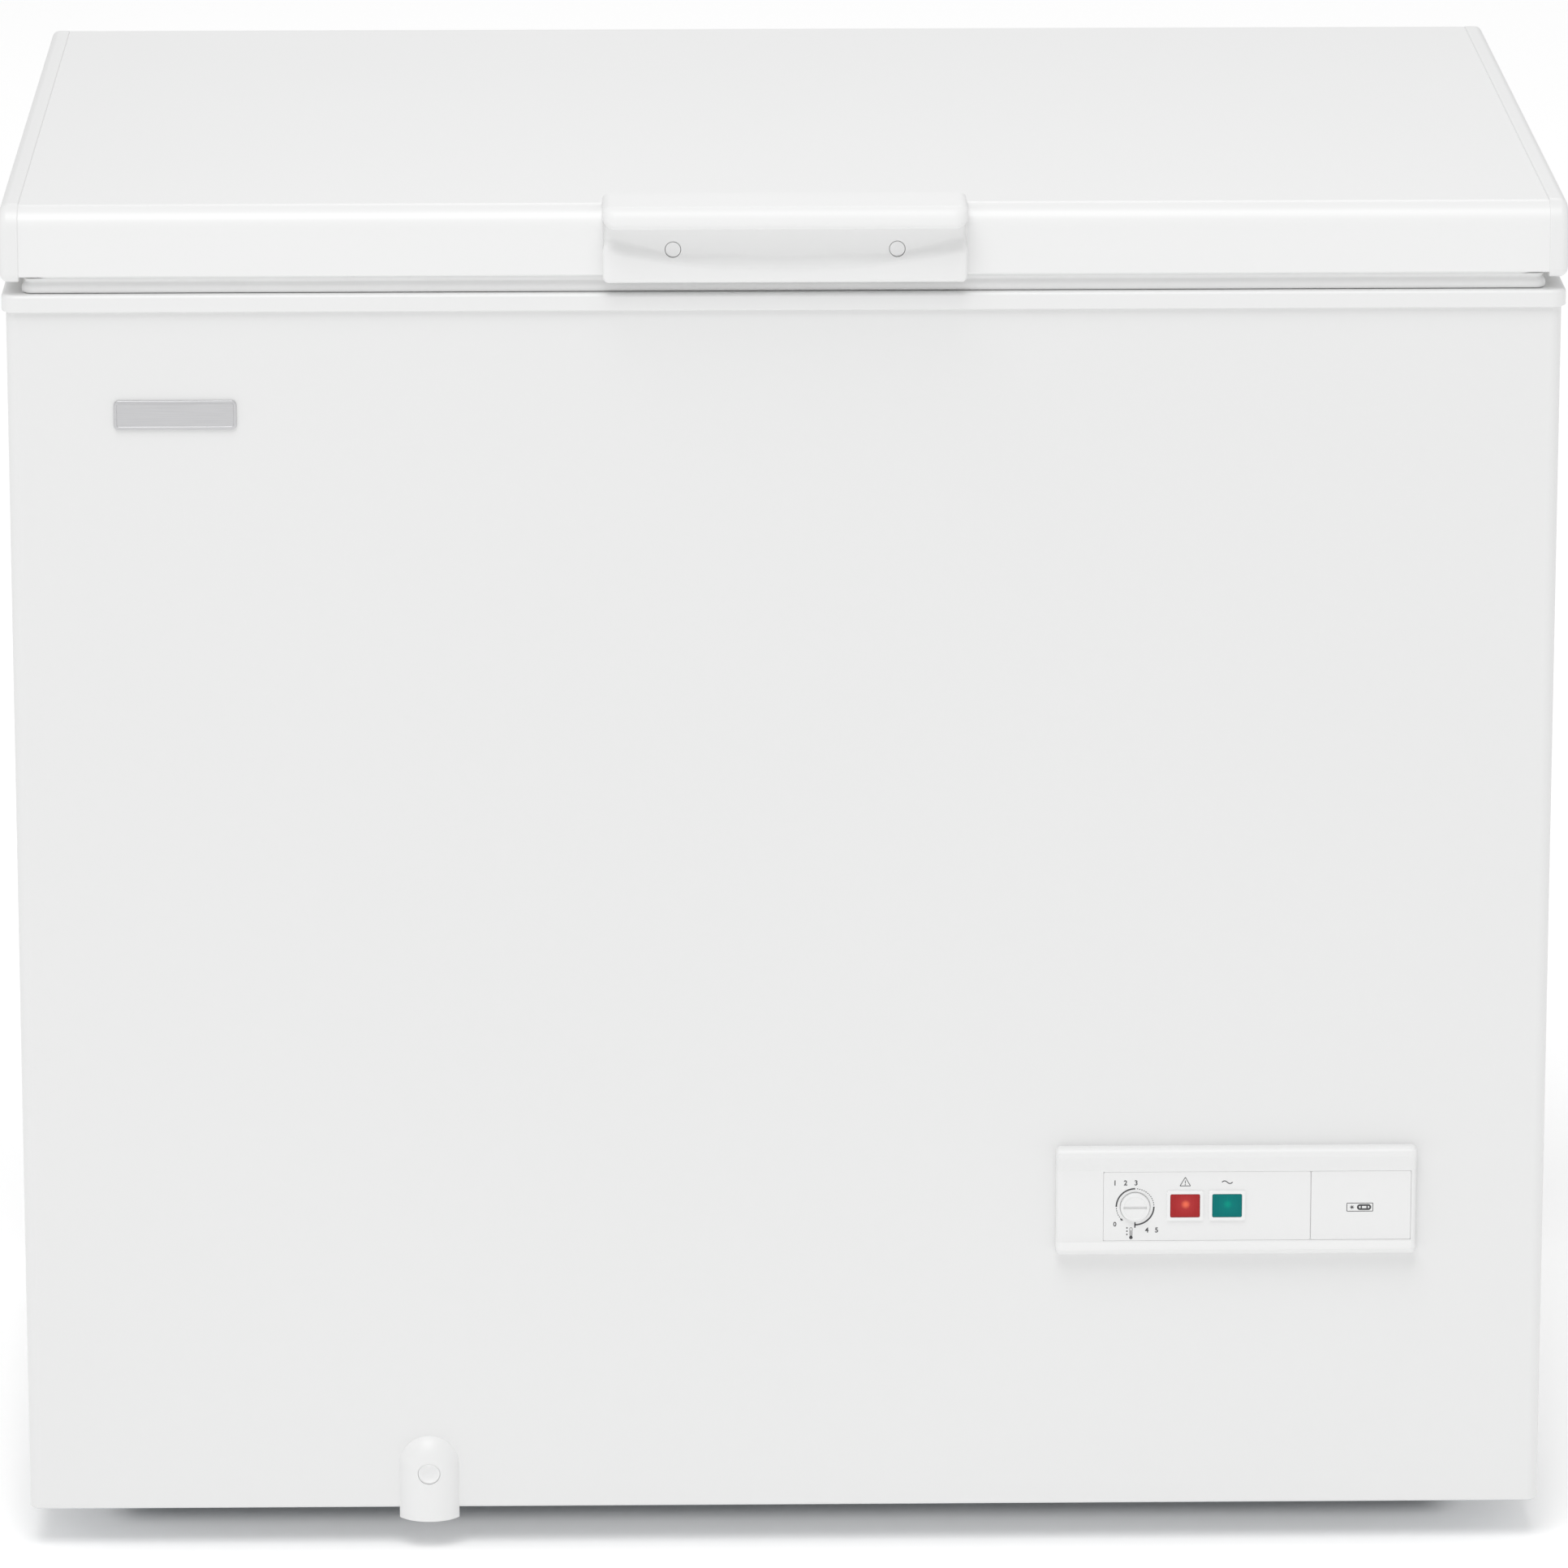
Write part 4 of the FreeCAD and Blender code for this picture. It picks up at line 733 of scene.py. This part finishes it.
def makeGasket():
    # bellows seal: a groove under its base, then a round outer bead that rests on the trim
    low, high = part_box("lid_gasket")
    top = high.z - low.z
    half = [*sealShape["half"], sealShape["innerEdge"]]     # millimetres outwards, share of the height
    width = sealShape["width"] / mm
    section = [*half, *sealShape["groove"]] + [(-width - n, z) for n, z in reversed(half)]
    corner, least = sealShape["corner"], sealShape["leastCorner"]
    rings = [roundedBox(high.x + n * mm, high.y + n * mm, max(corner + n * mm, least), low.z + z * top)
             for n, z in section + section[:1]]
    piece = loft("lidGasket", rings)
    mend(piece, fill=False)
    modify(piece, "BEVEL", width=sealShape["edge"], segments=2, limit_method="ANGLE",
           angle_limit=math.radians(25))
    finishPiece(piece, "lid", "white_gasket", seal, "lid_gasket", smooth=60)


innerShape = {
    "wallX": 400 * mm, "wallY": 234 * mm, "corner": 42 * mm, "leastCorner": 10 * mm, "fillet": 12 * mm,
    "root": 4 * mm, "sheet": 1 * mm, "fieldIn": 44 * mm, "slope": 4 * mm, "fieldDepth": 0.9 * mm,
    "flange": 2 * mm, "flangeCorner": 14 * mm, "reach": 2.4 * mm}


def makeInnerPanel():
    # vacuum-formed sheet: flange, rounded plug into the mouth and a sunken field in it
    low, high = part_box("lid_inner_panel")
    flange, fillet, root = high.z - innerShape["flange"], innerShape["fillet"], innerShape["root"]
    # each step is how far inside the wall, and the height
    steps = [(root * up - root, flange - root * out) for out, up in quarter(6)]
    steps += [(fillet * out, low.z + fillet - fillet * up) for out, up in quarter(8)]
    for step in range(9):
        share = step / 8
        rise = innerShape["fieldDepth"] * (1 - math.cos(math.pi * share)) / 2
        steps.append((innerShape["fieldIn"] + innerShape["slope"] * share, low.z + rise))

    def outline(inside, z):
        return roundedBox(innerShape["wallX"] - inside, innerShape["wallY"] - inside,
                          max(innerShape["corner"] - inside * 0.8, innerShape["leastCorner"]), z)

    reach = innerShape["reach"]
    edge = [roundedBox(high.x + reach, high.y + reach, innerShape["flangeCorner"], z)
            for z in (high.z, flange)]
    under = [outline(inside, z) for inside, z in steps]
    over = [outline(inside + innerShape["sheet"], z + innerShape["sheet"]) for inside, z in reversed(steps)]
    piece = loft("lidInnerPanel", edge[1:] + under)
    upper = loft("upperSide", over + edge)
    piece = joinPieces("lidInnerPanel", [piece, upper])
    mend(piece)
    finishPiece(piece, "lid", "white_panel", panelMoulding, "lid_inner_panel", smooth=30)


gripShape = {
    "hoodCorner": 9 * mm, "hoodRise": 8 * mm, "riseShare": 0.8, "noseRadius": 8.4 * mm, "noseShare": 0.62,
    "hoodLip": 4 * mm, "lipShare": 0.33, "hoodBottom": 836.6 * mm, "face": -312 * mm, "floor": -308 * mm,
    "lowEnd": 3.5 * mm, "topEnd": 5 * mm, "topShare": 0.6, "faceEnd": 3 * mm, "lowEdge": 2.4 * mm,
    "recessTop": 3.2 * mm, "backEdge": 2 * mm, "lidRound": 13.5 * mm, "leastDepth": 0.25 * mm,
    "flangeLow": 809.5 * mm, "flangeSide": 820.5 * mm, "flangeHalf": 104 * mm, "taper": 1 * mm, "ramp": 1.8,
    "rampEase": 34 * mm, "rampLess": 0.8, "rampRound": 0.9, "screwX": 67.3 * mm, "screwUp": 4.6 * mm,
    "well": 4.9 * mm, "wellDepth": 6 * mm, "stations": 96}


def gripOutline(x, half, low, high, lidFace, lidTop):
    # the handle's section at x: flange, recess, hood and the tongue that lies on the lid
    grip, fromEnd = gripShape, half - abs(x)
    nose = low.y + drawnBack(fromEnd, grip["hoodCorner"])
    bottom = low.z + drawnBack(fromEnd, grip["lowEnd"])
    top = high.z - drawnBack(fromEnd, grip["topEnd"]) * grip["topShare"]
    face = grip["face"] + drawnBack(fromEnd, grip["faceEnd"])
    hood = grip["hoodBottom"] + drawnBack(fromEnd, grip["hoodRise"]) * grip["riseShare"]
    share = min(1.0, fromEnd / grip["taper"])
    depth = grip["floor"] - grip["face"] - grip["leastDepth"]
    depth = grip["leastDepth"] + depth * share * share * (3 - 2 * share)
    across = min(1.0, abs(x) / grip["flangeHalf"])
    flange = grip["flangeLow"] + (grip["flangeSide"] - grip["flangeLow"]) * across ** 2.0
    beside = max(0.0, 1 - abs(abs(x) - grip["screwX"]) / grip["rampEase"])
    ramp = depth * (grip["ramp"] - beside * grip["rampLess"])
    bend, height = ramp * grip["rampRound"], top - hood
    corners = [(lidFace, bottom, 0), (face, bottom, grip["lowEdge"]), (face, flange, bend),
               (face + depth, flange + ramp, bend), (face + depth, hood, grip["recessTop"]),
               (nose, hood, min(grip["hoodLip"], height * grip["lipShare"])),
               (nose, top, min(grip["noseRadius"], height * grip["noseShare"])),
               (high.y, top, grip["backEdge"]), (high.y, lidTop, 0),
               (lidFace, lidTop, grip["lidRound"]), (lidFace, bottom, 0)]
    return [Vector((x, y, z)) for y, z in roundCorners(corners, 8)]


def makeHandle():
    low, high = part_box("lid_handle")
    lidLow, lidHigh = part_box("lid_skin")
    piece = loft("lidHandle", [gripOutline(x, high.x, low, high, lidLow.y, lidHigh.z)
                               for x in closeToEnds(high.x, gripShape["stations"])])
    mend(piece, join=0.5e-6)
    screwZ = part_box("handle_screw_caps")[0].z + gripShape["screwUp"]
    for side in (-1, 1):
        cutWith(piece, addRod("well", gripShape["well"], gripShape["wellDepth"],
                              (side * gripShape["screwX"], gripShape["floor"], screwZ)))
    finishPiece(piece, "lid", "white_moulding", gripMoulding, "lid_handle", smooth=38)


makeLidSkin()
makeEndCap("left", -1)
makeEndCap("right", 1)
makeGasket()
makeInnerPanel()
makeHandle()
polishNode("handle_screw_caps", "white_moulding", gripMoulding, "lid")
print("lid made")


# ---- control panel ----

def frontMiddle(node):
    # the middle of a node's box seen from the front, as x and z
    low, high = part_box(node)
    return Vector(((low.x + high.x) / 2, (low.z + high.z) / 2))


bezelShape = {
    "end": 3.2 * mm, "stations": 60, "band": 6 * mm, "bandMargin": 1 * mm, "seam": 0.12 * mm,
    "plate": 0.65 * mm, "topSlope": 9 * mm, "lowSlope": 5 * mm, "lowRound": 3 * mm, "lowBend": 2 * mm,
    "bandBend": 0.8 * mm, "topBend": 3 * mm, "topRound": 4 * mm, "wall": 2 * mm, "boss": 6 * mm,
    "bossDepth": 12 * mm, "lensGap": 1.2 * mm, "lensDepth": 10 * mm, "step": 0.005 * mm,
    "flush": 0.001 * mm}


def bezelOutline(x, back, recessed, low, high):
    # the section at x: a ridge above and below a flat band, with a shallow recess where the plates lie
    bezel = bezelShape
    plateLow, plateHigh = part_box("control_fascia")
    seam, band = bezel["seam"], high.y - bezel["band"]
    bandLow, bandHigh = plateLow.z - bezel["bandMargin"], plateHigh.z + bezel["bandMargin"]
    floor = band + (bezel["plate"] + seam if recessed else bezel["flush"])
    corners = [(high.y, low.z, 0), (low.y, low.z, bezel["lowRound"]),
               (low.y, bandLow - bezel["lowSlope"], bezel["lowBend"]), (band, bandLow, bezel["bandBend"]),
               (band, plateLow.z - seam, 0), (floor, plateLow.z - seam, 0), (floor, plateHigh.z + seam, 0),
               (band, plateHigh.z + seam, 0), (band, bandHigh, bezel["bandBend"]),
               (low.y, bandHigh + bezel["topSlope"], bezel["topBend"]), (low.y, high.z, bezel["topRound"]),
               (high.y, high.z, 0), (high.y, low.z, 0)]
    return [Vector((x, min(y + back, high.y), min(max(z, low.z + back), high.z - back)))
            for y, z in roundCorners(corners, 8)]


def openBezel(piece, low, high):
    # hollow from behind, with openings for the knob's boss and the lamps
    wall = bezelShape["wall"]
    hollowFront = high.y - bezelShape["band"] + bezelShape["plate"] + wall
    cutWith(piece, addBlock("hollow", (low.x + wall, hollowFront, low.z + wall),
                            (high.x - wall, high.y + wall, high.z - wall)))
    knob = frontMiddle("thermostat_knob")
    cutWith(piece, addRod("hole", bezelShape["boss"], bezelShape["bossDepth"], (knob.x, high.y, knob.y)))
    grow = Vector((bezelShape["lensGap"], bezelShape["lensDepth"], bezelShape["lensGap"]))
    for node in ("alarm_lamp_lens", "power_lamp_lens"):
        lensLow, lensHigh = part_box(node)
        cutWith(piece, addBlock("opening", lensLow - grow, lensHigh + grow))


def makeBezel():
    low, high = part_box("control_bezel")
    middle, half = (low.x + high.x) / 2, (high.x - low.x) / 2
    seam, step = bezelShape["seam"], bezelShape["step"]
    ends = (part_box("control_fascia")[0].x - seam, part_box("panel_cover")[1].x + seam)
    stations = [middle + x for x in closeToEnds(half, bezelShape["stations"])]
    stations += [end + side * step for end in ends for side in (-1, 1)]
    outlines = [bezelOutline(x, drawnBack(half - abs(x - middle), bezelShape["end"]), ends[0] < x < ends[1],
                             low, high) for x in sorted(stations)]
    piece = loft("controlBezel", outlines)
    mend(piece, join=0.5e-6)
    openBezel(piece, low, high)
    mend(piece)
    finishPiece(piece, "cabinet", "white_moulding", whiteMoulding, "control_bezel", smooth=38)


def makePlate(node):
    # thin snap-in plate; its back is brought forward to the recess it lies in
    piece = polishedCopy(node)
    low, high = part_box(node)
    for point in piece.data.vertices:
        if point.co.y > (low.y + high.y) / 2:
            point.co.y = low.y + bezelShape["plate"]
    finishPiece(piece, "cabinet", "white_moulding", whiteMoulding, node, edge=0.2 * mm)


knobShape = {
    "depth": 5 * mm, "rim": 0.9 * mm, "face": 0.9 * mm, "dishEdge": 0.25 * mm, "dish": 0.3 * mm,
    "slotHalf": 7.2 * mm, "slotWidth": 1.7 * mm, "slotDepth": 1.3 * mm, "boss": 5.2 * mm, "bossIn": 2 * mm}


def makeKnob():
    # slotted face on a narrower boss
    low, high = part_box("thermostat_knob")
    middle, half, width = (low + high) / 2, knobShape["slotHalf"], knobShape["slotWidth"] / 2
    x, z, bossIn = middle.x, middle.z, knobShape["bossIn"]
    depth = knobShape["depth"]
    piece = addRod("thermostatKnob", (high.x - low.x) / 2, depth, (x, low.y + depth / 2, z), 96)
    roundEdges(piece, knobShape["rim"], 5, lambda place, way: abs(place.y - low.y) < 0.01 * mm)
    sinkFace(piece, low.y, knobShape["face"], knobShape["dishEdge"], knobShape["dish"])
    cutWith(piece, addBlock("slot", (x - half, low.y - mm, z - width),
                            (x + half, low.y + knobShape["slotDepth"], z + width)))
    boss = addRod("boss", knobShape["boss"], high.y - low.y - 2 * bossIn, (x, middle.y + bossIn, z))
    piece = joinPieces("thermostatKnob", [piece, boss])
    finishPiece(piece, "control_knob", "white_moulding", whiteMoulding, "thermostat_knob")


lensShape = {
    "edge": 0.9 * mm, "spot": (0.3 * mm, 0, 1 * mm),
    "alarm": ((0.34, 0.022, 0.024), (0.42, 0.038, 0.04), (0.95, 0.20, 0.10)),
    "power": ((0.0, 0.15, 0.145), (0.0, 0.18, 0.165), (0.0, 0.30, 0.21))}


def makeLens(lamp, slotName):
    node = lamp + "_lamp_lens"
    low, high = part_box(node)
    piece = addBlock(lamp + "Lens", low, high)
    roundEdges(piece, lensShape["edge"], 5, lambda middle, way: middle.y < low.y + 0.01 * mm)
    front = Vector(((low.x + high.x) / 2, low.y, (low.z + high.z) / 2))
    material = lampLens(lamp + "LensPlastic", front, *lensShape[lamp], lensShape["spot"])
    finishPiece(piece, "cabinet", slotName, material, node)


printShape = {
    "lift": 0.05 * mm, "dial": 11.6 * mm, "thick": 0.95 * mm, "thin": 0.45 * mm, "bold": 0.1 * mm,
    "solid": ((90, 180), (270, 360)), "dotted": ((4, 88), (184, 228)), "dotEvery": 7, "dot": 4,
    "arrow": (-8.4, -8.2), "tick": (1.7 * mm, -1.9 * mm), "tickWidth": 0.8 * mm,
    "numbers": (("1", -12.5, 15.2, 3.2), ("2", -6.0, 15.2, 3.2), ("3", 0.5, 15.2, 3.2),
        ("4", 7.4, -15.2, 3.2), ("5", 13.4, -15.2, 3.2), ("0", -12.4, -11.3, 2.8)), "bulb": (-2.4, -19.8),
    "sign": (0, 14.4), "wave": (0, 14.8), "signLine": 0.42 * mm, "coverShift": (-0.6, -1.0)}


def flatStrip(points, width):
    # a ribbon of even width along points (x, z), facing the front
    rows = []
    for i, point in enumerate(points):
        way = (points[min(i + 1, len(points) - 1)] - points[max(i - 1, 0)]).normalized()
        side = Vector((-way.y, way.x)) * width / 2
        rows.append([Vector((p.x, 0, p.y)) for p in (point - side, point + side)])
    return loft("strip", rows)


def arcPoints(centre, radius, start, end):
    # start and end are in degrees, anticlockwise from 3 o'clock
    steps = max(2, int(abs(end - start) / 4))
    turns = [math.radians(start + (end - start) * i / steps) for i in range(steps + 1)]
    return [centre + Vector((math.cos(t), math.sin(t))) * radius for t in turns]


def flatDisc(centre, radius, sides=24, turn=0.0):
    disc = addShape("disc", "circle", vertices=sides, radius=radius, fill_type="NGON",
                    location=(centre.x, 0, centre.y), rotation=(math.pi / 2, turn, 0))
    settle(disc)
    return disc


def flatText(words, centre, height):
    deselectAll()
    bpy.ops.object.text_add(location=(0, 0, 0))
    text = bpy.context.object
    text.data.body, text.data.size = words, height * 1.4
    text.data.align_x, text.data.align_y, text.data.offset = "CENTER", "CENTER", printShape["bold"]
    bpy.ops.object.convert(target="MESH")
    text = bpy.context.object
    text.location, text.rotation_euler = (centre.x, 0, centre.y), (math.pi / 2, 0, 0)
    settle(text)
    return text


def flatFrame(low, high, corner, width):
    a, b = low, high
    loop = roundCorners([(a.x, a.y, corner), (b.x, a.y, corner), (b.x, b.y, corner), (a.x, b.y, corner)], 4)
    return flatStrip(loop + loop[:2], width)


def layPrint(name, parts, face):
    piece = joinPieces(name, parts)
    for point in piece.data.vertices:
        point.co.y = face - printShape["lift"]
    workOn(piece)
    bpy.ops.object.mode_set(mode="EDIT")
    bpy.ops.mesh.select_all(action="SELECT")
    bpy.ops.mesh.extrude_region_move(TRANSFORM_OT_translate={"value": (0, printShape["lift"], 0)})
    endEdit()
    mend(piece, join=1e-6, fill=False)
    finishPiece(piece, "cabinet", "black_plastic", ink)


def dialMarks(knob):
    radius = printShape["dial"]
    parts = [flatStrip(arcPoints(knob, radius, *ends), printShape["thick"]) for ends in printShape["solid"]]
    for start, end in printShape["dotted"]:
        for turn in range(start, end, printShape["dotEvery"]):
            dot = arcPoints(knob, radius, turn, turn + printShape["dot"])
            parts.append(flatStrip(dot, printShape["thin"]))
    parts.append(flatDisc(knob + Vector(printShape["arrow"]) * mm, 0.95 * mm, 3, math.pi))
    tick = [knob + Vector((0, up - radius)) for up in printShape["tick"]]
    parts.append(flatStrip(tick, printShape["tickWidth"]))
    for number, right, up, height in printShape["numbers"]:
        parts.append(flatText(number, knob + Vector((right, up)) * mm, height * mm))
    return parts


def thermometerSign(bulb):
    # a bulb, its tube with a column in it, and three dots beside it
    low, high = bulb + Vector((-0.75, 0.9)) * mm, bulb + Vector((0.75, 6.4)) * mm
    parts = [flatDisc(bulb, 1.1 * mm), flatFrame(low, high, 0.7 * mm, 0.28 * mm),
             flatStrip([bulb, bulb + Vector((0, 4.6)) * mm], 0.4 * mm)]
    return parts + [flatDisc(bulb + Vector((-2.5, 6.2 - 2.1 * row)) * mm, 0.5 * mm, 8) for row in range(3)]


def warningSign(middle):
    # plain triangle with a stroke and a dot
    corners = [middle + Vector((math.cos(turn), math.sin(turn))) * 3.7 * mm
               for turn in (math.radians(90), math.radians(210), math.radians(330))]
    line = printShape["signLine"]
    parts = [flatStrip([corners[i - 1], corners[i]], line) for i in range(3)]
    parts.append(flatStrip([middle + Vector((0, 1.6)) * mm, middle + Vector((0, -0.4)) * mm], line))
    return parts + [flatDisc(middle + Vector((0, -1.1)) * mm, 0.32 * mm, 10)]


def waveSign(middle):
    shares = [i / 12 - 1 for i in range(25)]
    wave = [middle + Vector((3.3 * share, -0.85 * math.sin(math.pi * share))) * mm for share in shares]
    return [flatStrip(wave, 0.6 * mm)]


def coverMarks(middle):
    # a frame round an asterisk and a barred pill
    def at(right, up):
        return middle + Vector((right, up)) * mm

    marks = [flatFrame(at(-8.0, -2.6), at(8.0, 2.6), 0.3 * mm, 0.38 * mm)]
    for arm in range(4):
        turn = math.radians(45 * arm)
        tip = Vector((math.cos(turn), math.sin(turn))) * 1.3 * mm
        marks.append(flatStrip([at(-4.9, 0) - tip, at(-4.9, 0) + tip], 0.32 * mm))
    marks.append(flatFrame(at(-1.2, -1.3), at(6.4, 1.3), 1.2 * mm, 1.15 * mm))
    return marks + [flatStrip([at(x, 0), at(x + 0.9, 0)], 1.7 * mm) for x in (0.4, 4.0)]


def makePrints():
    knob, alarm, power, cover = (frontMiddle(node) for node in ("thermostat_knob", "alarm_lamp_lens",
                                                                "power_lamp_lens", "panel_cover"))
    bulb, sign, wave, shift = (Vector(printShape[key]) * mm
                               for key in ("bulb", "sign", "wave", "coverShift"))
    parts = dialMarks(knob) + thermometerSign(knob + bulb)
    parts += warningSign(alarm + sign) + waveSign(power + wave)
    layPrint("dialPrint", parts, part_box("control_fascia")[0].y)
    layPrint("coverPrint", coverMarks(Vector((cover.x, knob.y)) + shift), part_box("panel_cover")[0].y)


makeBezel()
makeKnob()
makePlate("control_fascia")
makePlate("panel_cover")
polishNode("lamp_frames", "white_moulding", gripMoulding, edge=0.25 * mm)
makeLens("alarm", "red_lens")
makeLens("power", "green_lens")
makePrints()

badgeShape = {
    "corner": 3 * mm, "edge": 0.5 * mm, "border": 1.2 * mm, "dishEdge": 0.3 * mm, "dish": 0.35 * mm}


def makeBadge():
    # blank plate with a rim round a sunken field
    low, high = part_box("name_badge")
    piece = addBlock("nameBadge", low, high)
    roundEdges(piece, badgeShape["corner"], 8, lambda middle, way: abs(way.y) > 0.9)
    roundEdges(piece, badgeShape["edge"], 3, lambda middle, way: middle.y < low.y + 0.01 * mm)
    sinkFace(piece, low.y, badgeShape["border"], badgeShape["dishEdge"], badgeShape["dish"])
    finishPiece(piece, "cabinet", "satin_badge", badgeMetal, "name_badge")


makeBadge()
print("control panel made")


# ---- hinges ----

springShape = {
    "coils": 8, "steps": 20, "radius": 8.2 * mm, "wire": 1.5 * mm, "endTurns": 0.75, "endRise": 1.2 * mm}


def springPoints(x, y, bottom, top):
    # a coil whose first and last turns lie nearly flat
    coils, endTurns, endRise = (springShape[key] for key in ("coils", "endTurns", "endRise"))
    points = []
    for i in range(coils * springShape["steps"] + 1):
        turns = i / springShape["steps"]
        rise = min(max((turns - endTurns) / (coils - 2 * endTurns), 0.0), 1.0)
        flat = min(turns, 1.0) - min(coils - turns, 1.0)
        z = bottom + endRise + (top - bottom - 2 * endRise) * rise + flat * endRise
        turn = 2 * math.pi * turns
        points.append(Vector((x + springShape["radius"] * math.cos(turn),
                              y + springShape["radius"] * math.sin(turn), z)))
    return points


def makeHingeSpring(hand):
    node = "hinge_spring_" + hand
    low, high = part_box(node)
    x, y, wire = (low.x + high.x) / 2, (low.y + high.y) / 2, springShape["wire"]
    piece = wires(pieceName(node), [(springPoints(x, y, low.z + wire, high.z - wire), False)], wire)
    workOn(piece)
    bpy.ops.object.shade_smooth()
    piece.data.materials.append(springSteel)
    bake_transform(piece)
    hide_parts(node)


for hand in ("left", "right"):
    polishNode("hinge_housing_" + hand, "white_steel", steelPaint, edge=0.4 * mm)
    polishNode("hinge_leaf_" + hand, "zinc", zinc, "lid", edge=0.25 * mm)
    polishNode("hinge_pin_" + hand, "zinc", zinc, edge=0.3 * mm)
    plunger = "hinge_plunger_" + hand
    polishNode(plunger, "black_plastic", blackPlastic, plunger, edge=0.3 * mm)
makeHingeSpring("left")
makeHingeSpring("right")


# ---- baskets ----

basketShape = {
    "corner": 26 * mm, "foot": 18 * mm, "rimWire": 2.4 * mm, "rimShare": 0.8, "wire": 1.4 * mm,
    "across": 17, "along": 8, "rings": (0.30, 0.62), "hook": 20 * mm, "draw": 9 * mm, "railIn": 34 * mm,
    "railCorner": 8 * mm}


def basketRibs(count, reach, half, bottom, top):
    # for each rib, its place across the basket and its run of (way, z) down one side, along and up the other
    wire, foot = basketShape["wire"], basketShape["foot"]
    low, high = half[0] + basketShape["draw"], half[1] - basketShape["draw"]
    run = roundCorners([(half[0] + wire, top, 0), (low, bottom, foot), (high, bottom, foot),
                        (half[1] - wire, top, 0)], 5)
    return [((2 * i / (count - 1) - 1) * reach, run) for i in range(count)]


def makeBasket(hand):
    # welded grid of coated wire, hung by two hooked rails
    node = "basket_" + hand
    low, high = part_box(node)
    corner, rim, wire = (basketShape[key] for key in ("corner", "rimWire", "wire"))
    x0, x1, halfY = low.x + rim, high.x - rim, high.y - basketShape["hook"] - rim
    middle, halfX = (x0 + x1) / 2, (x1 - x0) / 2
    bottom, top = low.z + wire, high.z - rim

    def ring(z, shrink):
        loop = roundedBox(halfX - shrink, halfY - shrink, corner - shrink, z, 6)[:-1]
        return [point + Vector((middle, 0, 0)) for point in loop]

    fine = [([Vector((x, y, z)) for x, z in run], False)
            for y, run in basketRibs(basketShape["across"], halfY - corner, (x0, x1), bottom, top)]
    fine += [([Vector((middle + x, y, z)) for y, z in run], False)
             for x, run in basketRibs(basketShape["along"], halfX - corner, (-halfY, halfY),
                                      bottom + 2 * wire, top)]
    for share in basketShape["rings"]:     # the sides lean in towards the bottom
        fine.append((ring(bottom + (top - bottom) * share, basketShape["draw"] * (1 - share) + wire), True))
    grid = wires("grid", fine, wire)
    heavy = [(ring(top, 0), True)]
    left, right, bend = x0 + basketShape["railIn"], x1 - basketShape["railIn"], basketShape["railCorner"]
    for end in (-1, 1):     # rails that reach over the ledge
        near, far = end * (halfY - rim), end * (high.y - rim)
        rail = [(left, near, 0), (left, far, bend), (right, far, bend), (right, near, 0)]
        heavy.append(([Vector((x, y, top)) for x, y in roundCorners(rail, 5)], False))
    frameWire = wires("rim", heavy, rim * basketShape["rimShare"], 3)
    piece = joinPieces(pieceName(node), [frameWire, grid])
    finishPiece(piece, hand + "_basket", "basket_wire", basketVinyl, node, smooth=60)


makeBasket("left")
makeBasket("right")
print("hinges and baskets made")


# ---- finishes for the CAD nodes that stay ----

keptNodes = (
    (galvanised, "machine_bay_panel"), (foam, "cabinet_foam lid_foam"), (blackEnamel, "compressor_shell"),
    (coatedTube, "evaporator_tube condenser_tube"), (blackRubber, "compressor_mounts"),
    (blackPlastic, "start_relay_cover lamp_holders"), (whiteMoulding, "drain_tube"),
    (copper, "filter_drier refrigerant_tubes thermostat_bulb_tube"),
    (zinc, "compressor_bolts bay_cover_screws thermostat_body thermostat_spindle housing_screws"),
    (zinc, "leaf_screws handle_screws"))
for finish, names in keptNodes:
    for node in names.split():
        nodes[node].data.materials.clear()
        nodes[node].data.materials.append(finish)
print("kept nodes finished")
